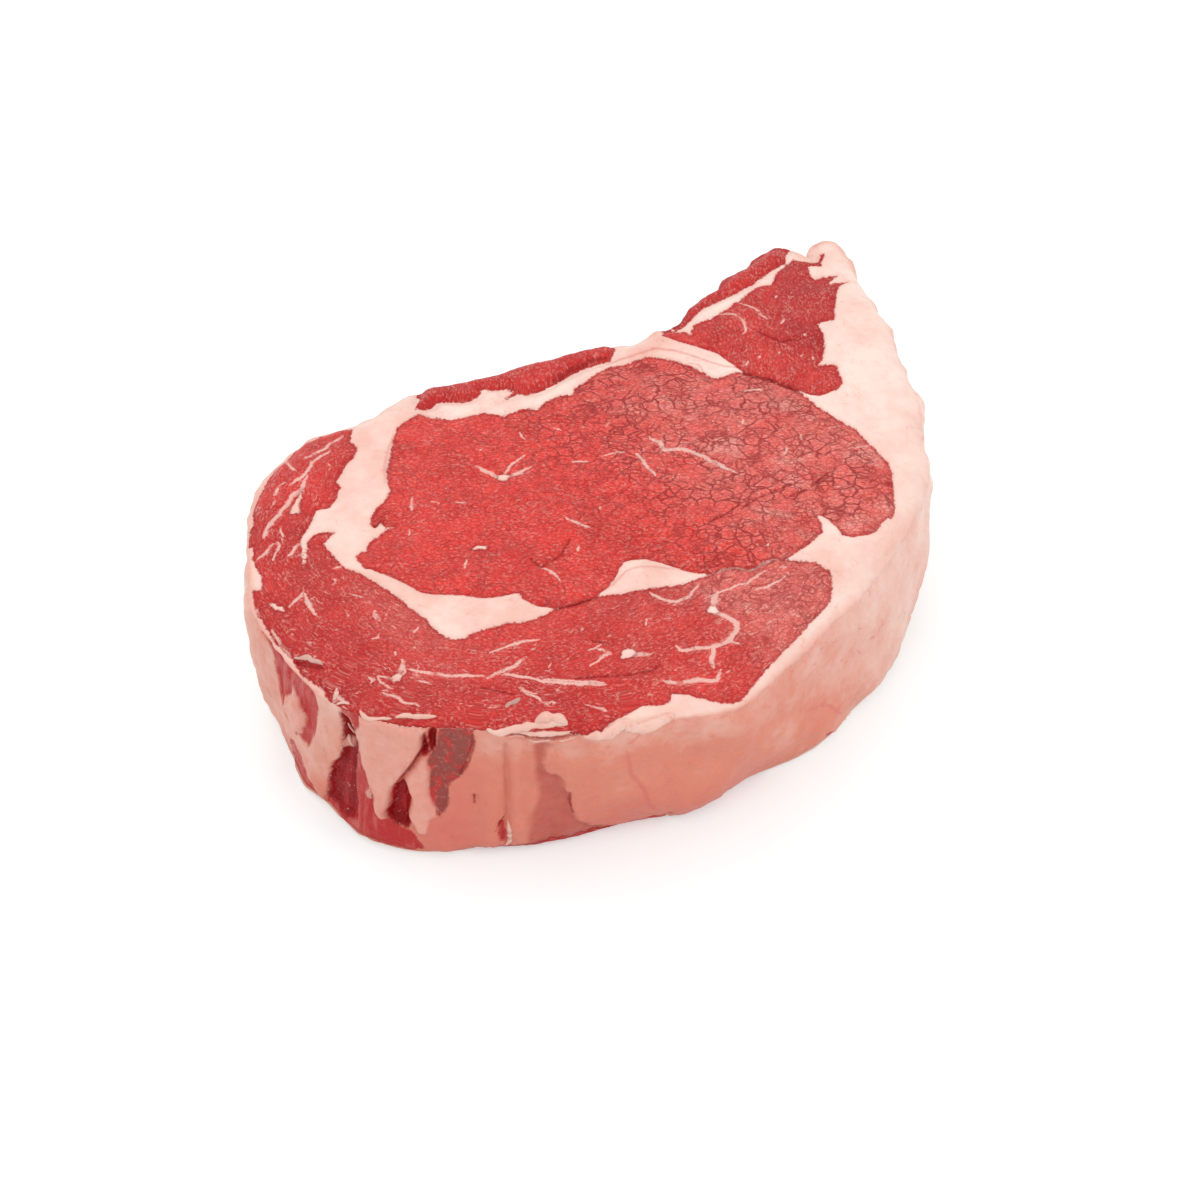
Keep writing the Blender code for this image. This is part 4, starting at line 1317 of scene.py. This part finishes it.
def strip_tree():
    """Geometry nodes: a tapered, slightly wavy strip along each path of a mesh of edges."""
    group = bpy.data.node_groups.new("Strip along a path", "GeometryNodeTree")
    group.is_modifier = True
    for label, kind, value in (
        ("Geometry", "NodeSocketGeometry", None), ("Spacing", NUMBER, 0.0004),
        ("Wander", NUMBER, 0.0005), ("Flatness", NUMBER, 0.8), ("Sides", "NodeSocketInt", 10),
        ("Seed", NUMBER, 3.0), ("Material", "NodeSocketMaterial", None),
    ):
        socket = group.interface.new_socket(label, in_out="INPUT", socket_type=kind)
        if value is not None:
            socket.default_value = value
    group.interface.new_socket("Geometry", in_out="OUTPUT", socket_type="NodeSocketGeometry")
    tree = Tree(group)
    entry = group.nodes.new("NodeGroupInput").outputs
    paths = tree.add("GeometryNodeMeshToCurve", {"Mesh": entry["Geometry"]}).outputs[0]
    paths = tree.add("GeometryNodeCurveSplineType", {"Curve": paths}, spline_type="CATMULL_ROM").outputs[0]
    even = tree.add("GeometryNodeResampleCurve", {"Curve": paths, "Length": entry["Spacing"]}, mode="LENGTH")
    place = tree.add("GeometryNodeInputPosition").outputs[0]
    seeded = tree.add("ShaderNodeTexNoise", {
        "Vector": place, "W": entry["Seed"], "Scale": 520.0, "Detail": 2.0,
    }, noise_dimensions="4D")
    wander = tree.vector("SUBTRACT", seeded.outputs["Color"], (0.5, 0.5, 0.5))
    wander = tree.add("ShaderNodeVectorMath", {0: wander, "Scale": entry["Wander"]}, operation="SCALE")
    moved = tree.add("GeometryNodeSetPosition", {
        "Geometry": even.outputs[0], "Offset": wander.outputs[0],
    })
    along = tree.add("GeometryNodeSplineParameter").outputs["Factor"]
    from_middle = tree.math("ABSOLUTE", tree.math("SUBTRACT", tree.math("MULTIPLY", along, 2.0), 1.0))
    taper = tree.math("SQRT", tree.math("SUBTRACT", 1.01, tree.math("POWER", from_middle, 3.0)))
    half = tree.add("GeometryNodeInputNamedAttribute", {"Name": "half_width"}, data_type="FLOAT")
    uneven = tree.math("MULTIPLY", seeded.outputs["Fac"], 2.0)
    radius = tree.math("MULTIPLY", half.outputs[0], tree.math("MULTIPLY", taper, uneven))
    upright = tree.add("GeometryNodeSetCurveNormal", {"Curve": moved.outputs[0]}, mode="Z_UP")
    ring = tree.add("GeometryNodeCurvePrimitiveCircle", {"Resolution": entry["Sides"], "Radius": 1.0})
    flat = tree.add("ShaderNodeCombineXYZ", {0: 1.0, 1: entry["Flatness"], 2: 1.0})
    section = tree.add("GeometryNodeTransform", {"Geometry": ring.outputs[0], "Scale": flat.outputs[0]})
    swept = tree.add("GeometryNodeCurveToMesh", {
        "Curve": upright.outputs[0], "Profile Curve": section.outputs[0], "Scale": radius,
        "Fill Caps": True,
    })
    real = tree.add("GeometryNodeRealizeInstances", {"Geometry": swept.outputs[0]})
    painted = tree.add("GeometryNodeSetMaterial", {
        "Geometry": real.outputs[0], "Material": entry["Material"],
    })
    leaving = group.nodes.new("NodeGroupOutput")
    tree.feed(leaving.inputs[0], painted.outputs[0])
    return group


STRIP_START = 12.0                  # mm out of the wall, where the way in to it starts
ABOVE, RIM_LEVEL, FACE_LEVEL = 60.0, 31.0, 34.0    # mm, heights over the floor


def onto_top(skin, _, spot):
    """A point of the plan, dropped onto the upper face, or moved to it from beyond the rim."""
    flat = (np.array(spot) - PLAN_ORIGIN) * MM
    hit = skin.ray_cast(Vector((*flat, ABOVE * MM)), Vector((0, 0, -1)))[0]
    if hit is None or hit.z < RIM_LEVEL * MM:
        return skin.find_nearest(Vector((*flat, FACE_LEVEL * MM)))[0]
    return hit


def onto_wall(skin, outline, spot):
    """A point of the unrolled wall, pushed in onto the wall."""
    along, height = spot
    corners, walked = walked_round(outline)
    along %= walked[-1]
    number = min(int(np.searchsorted(walked, along, side="right")) - 1, len(outline) - 1)
    run = corners[number + 1] - corners[number]
    length = walked[number + 1] - walked[number]
    foot = corners[number] + run * (along - walked[number]) / length
    outward = np.array((run[1], -run[0])) / length
    start = Vector((*((foot + outward * STRIP_START - PLAN_ORIGIN) * MM), height * MM))
    hit = skin.ray_cast(start, Vector((-outward[0], -outward[1], 0)))[0]
    return hit or skin.find_nearest(start)[0]


def strips(name, paths, lay, material, settings, body, outline):
    """One object with a strip along each of these paths, laid onto the body."""
    skin = BVHTree.FromObject(body, bpy.context.evaluated_depsgraph_get())
    built = bmesh.new()
    half_width = built.verts.layers.float.new("half_width")
    for width, _, *spots in paths:
        before = None
        for spot in spots:
            corner = built.verts.new(lay(skin, outline, spot))
            corner[half_width] = width / 2 * MM
            if before:
                built.edges.new((before, corner))
            before = corner
    piece = object_from_bmesh(name, built)
    modifier = piece.modifiers.new("strips", "NODES")
    modifier.node_group = bpy.data.node_groups["Strip along a path"]
    inputs = {
        item.name: item.identifier for item in modifier.node_group.interface.items_tree
        if item.in_out == "INPUT"
    }
    flatness = sum(thick / width for width, thick, *_ in paths) / len(paths)
    for label, value in (("Flatness", flatness), ("Material", material), *settings.items()):
        modifier[inputs[label]] = value
    bake_modifiers(piece)
    tidy = bmesh.new()
    tidy.from_mesh(piece.data)
    bmesh.ops.recalc_face_normals(tidy, faces=tidy.faces)
    bmesh.ops.triangulate(tidy, faces=tidy.faces)
    tidy.to_mesh(piece.data)
    tidy.free()
    piece.data.shade_smooth()
    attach(piece, "root")


def strip_material(name, colour, pink, stain, roughness_drop):
    """Fat that stands up in a strip."""
    material, tree = new_material(name)
    place = place_in_mm(tree)
    fat_node = tree.add("ShaderNodeGroup", {
        "Place": place, "Pinkness": stain, "Fat": colour, "Pink": pink, "Ruddy": pink,
    }, node_tree=bpy.data.node_groups["Raw fat"])
    roughness = tree.math("SUBTRACT", fat_node.outputs["Roughness"], roughness_drop)
    moist_shader(tree, fat_node.outputs["Color"], roughness, fat_node.outputs["Height"])
    return material


# ---------------------------------------------------------------------------------------------------
# Stage
# ---------------------------------------------------------------------------------------------------


class SteakStage(bpy.types.PropertyGroup):
    """Camera and light."""

    azimuth: bpy.props.FloatProperty(
        name="Azimuth", description="Turn of the camera round the steak", default=math.radians(-39),
        subtype="ANGLE",
    )
    elevation: bpy.props.FloatProperty(
        name="Elevation", description="Angle of the camera above the horizon", default=math.radians(45),
        subtype="ANGLE",
    )
    distance: length_property("Distance", "From the camera to the middle of the view", 0.8)
    lens: bpy.props.FloatProperty(
        name="Lens", description="Focal length", default=120.0, min=1.0, unit="CAMERA",
    )
    sky: bpy.props.FloatProperty(
        name="Sky", description="Strength of the even light from all round", default=0.95, min=0.0,
    )
    key: bpy.props.FloatProperty(
        name="Key lamp", description="Power of the large lamp behind the steak", default=4.2, min=0.0,
        unit="POWER",
    )
    fill: bpy.props.FloatProperty(
        name="Fill lamp", description="Power of the large lamp in front", default=4.0, min=0.0,
        unit="POWER",
    )
    left: bpy.props.FloatProperty(
        name="Left lamp", description="Power of the large lamp on the left", default=1.9, min=0.0,
        unit="POWER",
    )


VIEW_TARGET = Vector((-0.01332, -0.00369, 0.0175))
FLOOR_HALF = 4.0                    # m, half the side of the floor
FLOOR_COLOUR = (0.74, 0.8, 0.8, 1)
FLOOR_GLOW = 0.36                   # lifts the floor to the white of the sky

# Each lamp: its name among the settings, its side and its place from the middle of the view, in m.
LAMPS = (
    ("key", 1.0, (0.15, 0.75, 0.95)),
    ("fill", 1.2, (0.55, -1.0, 0.65)),
    ("left", 1.0, (-1.0, -0.35, 0.6)),
)


def seen_share(tree):
    """1 for what the camera sees, straight or in a reflection, 0 for light that falls on the steak."""
    path = tree.add("ShaderNodeLightPath").outputs
    seen = tree.math("MAXIMUM", path["Is Camera Ray"], path["Is Glossy Ray"])
    return tree.math("MAXIMUM", seen, path["Is Transmission Ray"])


def stage_material():
    """A white floor that keeps the steak's shadow."""
    material, tree = new_material("pale floor")
    diffuse = tree.add("ShaderNodeBsdfDiffuse", {"Color": FLOOR_COLOUR})
    glow = tree.add("ShaderNodeEmission", {"Strength": tree.math("MULTIPLY", seen_share(tree), FLOOR_GLOW)})
    both = tree.add("ShaderNodeAddShader", {0: diffuse.outputs[0], 1: glow.outputs[0]})
    tree.add("ShaderNodeOutputMaterial", {"Surface": both.outputs[0]})
    return material


def soft_lamp(name, power, size, place):
    """A square white lamp that points at the middle of the view."""
    lamp = bpy.data.lights.new(name, "AREA")
    lamp.energy = power
    lamp.size = size
    piece = bpy.data.objects.new(name, lamp)
    piece.location = VIEW_TARGET + Vector(place)
    piece.rotation_euler = (-Vector(place)).to_track_quat("-Z", "Y").to_euler()
    bpy.context.scene.collection.objects.link(piece)


def pale_world(sky):
    """An even sky that lights softly and is seen as white."""
    world = bpy.data.worlds.new("studio")
    world.use_nodes = True
    world.node_tree.nodes.clear()
    tree = Tree(world.node_tree)
    background = tree.add("ShaderNodeBackground", {"Strength": tree.blend(seen_share(tree), sky, 1.0)})
    tree.add("ShaderNodeOutputWorld", {"Surface": background.outputs[0]})
    bpy.context.scene.world = world


# ---------------------------------------------------------------------------------------------------
# Operators
# ---------------------------------------------------------------------------------------------------


class STEAK_OT_body(bpy.types.Operator):
    """Builds the steak itself"""

    bl_idname = "steak.body"
    bl_label = "Build steak"

    def execute(self, context):
        shape = context.scene.steak_shape
        if "Raw lean" not in bpy.data.node_groups:
            lean_group().name = "Raw lean"
            fat_group().name = "Raw fat"
        piece, outline = rough_body(shape)
        finish_body(piece, outline, shape)
        piece.data.materials.clear()
        piece.data.materials.append(steak_material(context.scene.steak_colours))
        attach(piece, "root")
        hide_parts(CAD_NODE)
        return {"FINISHED"}


class STEAK_OT_strips(bpy.types.Operator):
    """Lays strips of fat along the rim and the wall"""

    bl_idname = "steak.strips"
    bl_label = "Build strips of fat"

    def execute(self, context):
        settings = context.scene.steak_strips
        colours = context.scene.steak_colours
        if "Strip along a path" not in bpy.data.node_groups:
            strip_tree()
        body = bpy.data.objects.get("steak_body")
        if body is None:
            raise RuntimeError("Build the steak before its strips of fat")
        outline = wall_outline()
        chosen = {"Spacing": settings.spacing, "Wander": settings.wander, "Seed": float(settings.seed)}
        pale = strip_material("fat strip", colours.fat, colours.fat_pink, 0.45, 0.0)
        grey = strip_material("cartilage strip", colours.cartilage, colours.silverskin, 0.3, 0.1)
        strips("rim_strips", RIM_STRIPS, onto_top, pale, chosen, body, outline)
        strips("grey_strips", GREY_STRIPS, onto_top, grey, chosen, body, outline)
        strips("wall_strips", WALL_STRIPS, onto_wall, pale, chosen, body, outline)
        return {"FINISHED"}


class STEAK_OT_stage(bpy.types.Operator):
    """Sets up the floor, the sky, the lamps and the camera"""

    bl_idname = "steak.stage"
    bl_label = "Build stage"

    def execute(self, context):
        scene = context.scene
        stage = scene.steak_stage
        built = bmesh.new()
        bmesh.ops.create_grid(built, x_segments=1, y_segments=1, size=FLOOR_HALF)
        floor = object_from_bmesh("floor", built)
        floor.data.materials.append(stage_material())
        pale_world(stage.sky)
        for name, size, place in LAMPS:
            soft_lamp(f"{name} lamp", getattr(stage, name), size, place)
        flat = math.cos(stage.elevation)
        back = Vector((
            math.sin(stage.azimuth) * flat, -math.cos(stage.azimuth) * flat, math.sin(stage.elevation),
        ))
        data = bpy.data.cameras.new("camera")
        data.lens = stage.lens
        data.sensor_fit = "HORIZONTAL"
        data.sensor_width = 36.0
        data.clip_start = 0.01
        camera = bpy.data.objects.new("camera", data)
        camera.location = VIEW_TARGET + back * stage.distance
        camera.rotation_euler = (-back).to_track_quat("-Z", "Y").to_euler()
        scene.collection.objects.link(camera)
        scene.camera = camera
        scene.view_settings.view_transform = "Standard"
        return {"FINISHED"}


class STEAK_PT_sidebar(bpy.types.Panel):
    """The steak's settings and the buttons that build it"""

    bl_idname = "STEAK_PT_sidebar"
    bl_label = "Raw ribeye steak"
    bl_space_type = "VIEW_3D"
    bl_region_type = "UI"
    bl_category = "Steak"

    def draw(self, context):
        column = self.layout.column()
        for group, operator in GROUPS:
            settings = getattr(context.scene, group)
            for name in settings.__annotations__:
                column.prop(settings, name)
            column.operator(operator)


SETTINGS = {
    "steak_shape": SteakShape, "steak_colours": SteakColours, "steak_strips": SteakStrips,
    "steak_stage": SteakStage,
}

# The groups of settings in the sidebar, each with the operator that uses it.
GROUPS = (
    ("steak_shape", STEAK_OT_body.bl_idname),
    ("steak_colours", STEAK_OT_body.bl_idname),
    ("steak_strips", STEAK_OT_strips.bl_idname),
    ("steak_stage", STEAK_OT_stage.bl_idname),
)

CLASSES = (
    SteakShape, SteakColours, SteakStrips, SteakStage, STEAK_OT_body, STEAK_OT_strips, STEAK_OT_stage,
    STEAK_PT_sidebar,
)


def register():
    """Adds the settings, the operators and the panel."""
    for kind in CLASSES:
        bpy.utils.register_class(kind)
    for name, kind in SETTINGS.items():
        setattr(bpy.types.Scene, name, bpy.props.PointerProperty(type=kind))


def unregister():
    """Takes them away again."""
    for name in SETTINGS:
        delattr(bpy.types.Scene, name)
    for kind in reversed(CLASSES):
        bpy.utils.unregister_class(kind)


def main():
    """Builds the steak and its stage."""
    register()
    bpy.ops.steak.body()
    bpy.ops.steak.strips()
    bpy.ops.steak.stage()


if __name__ == "__main__":
    main()
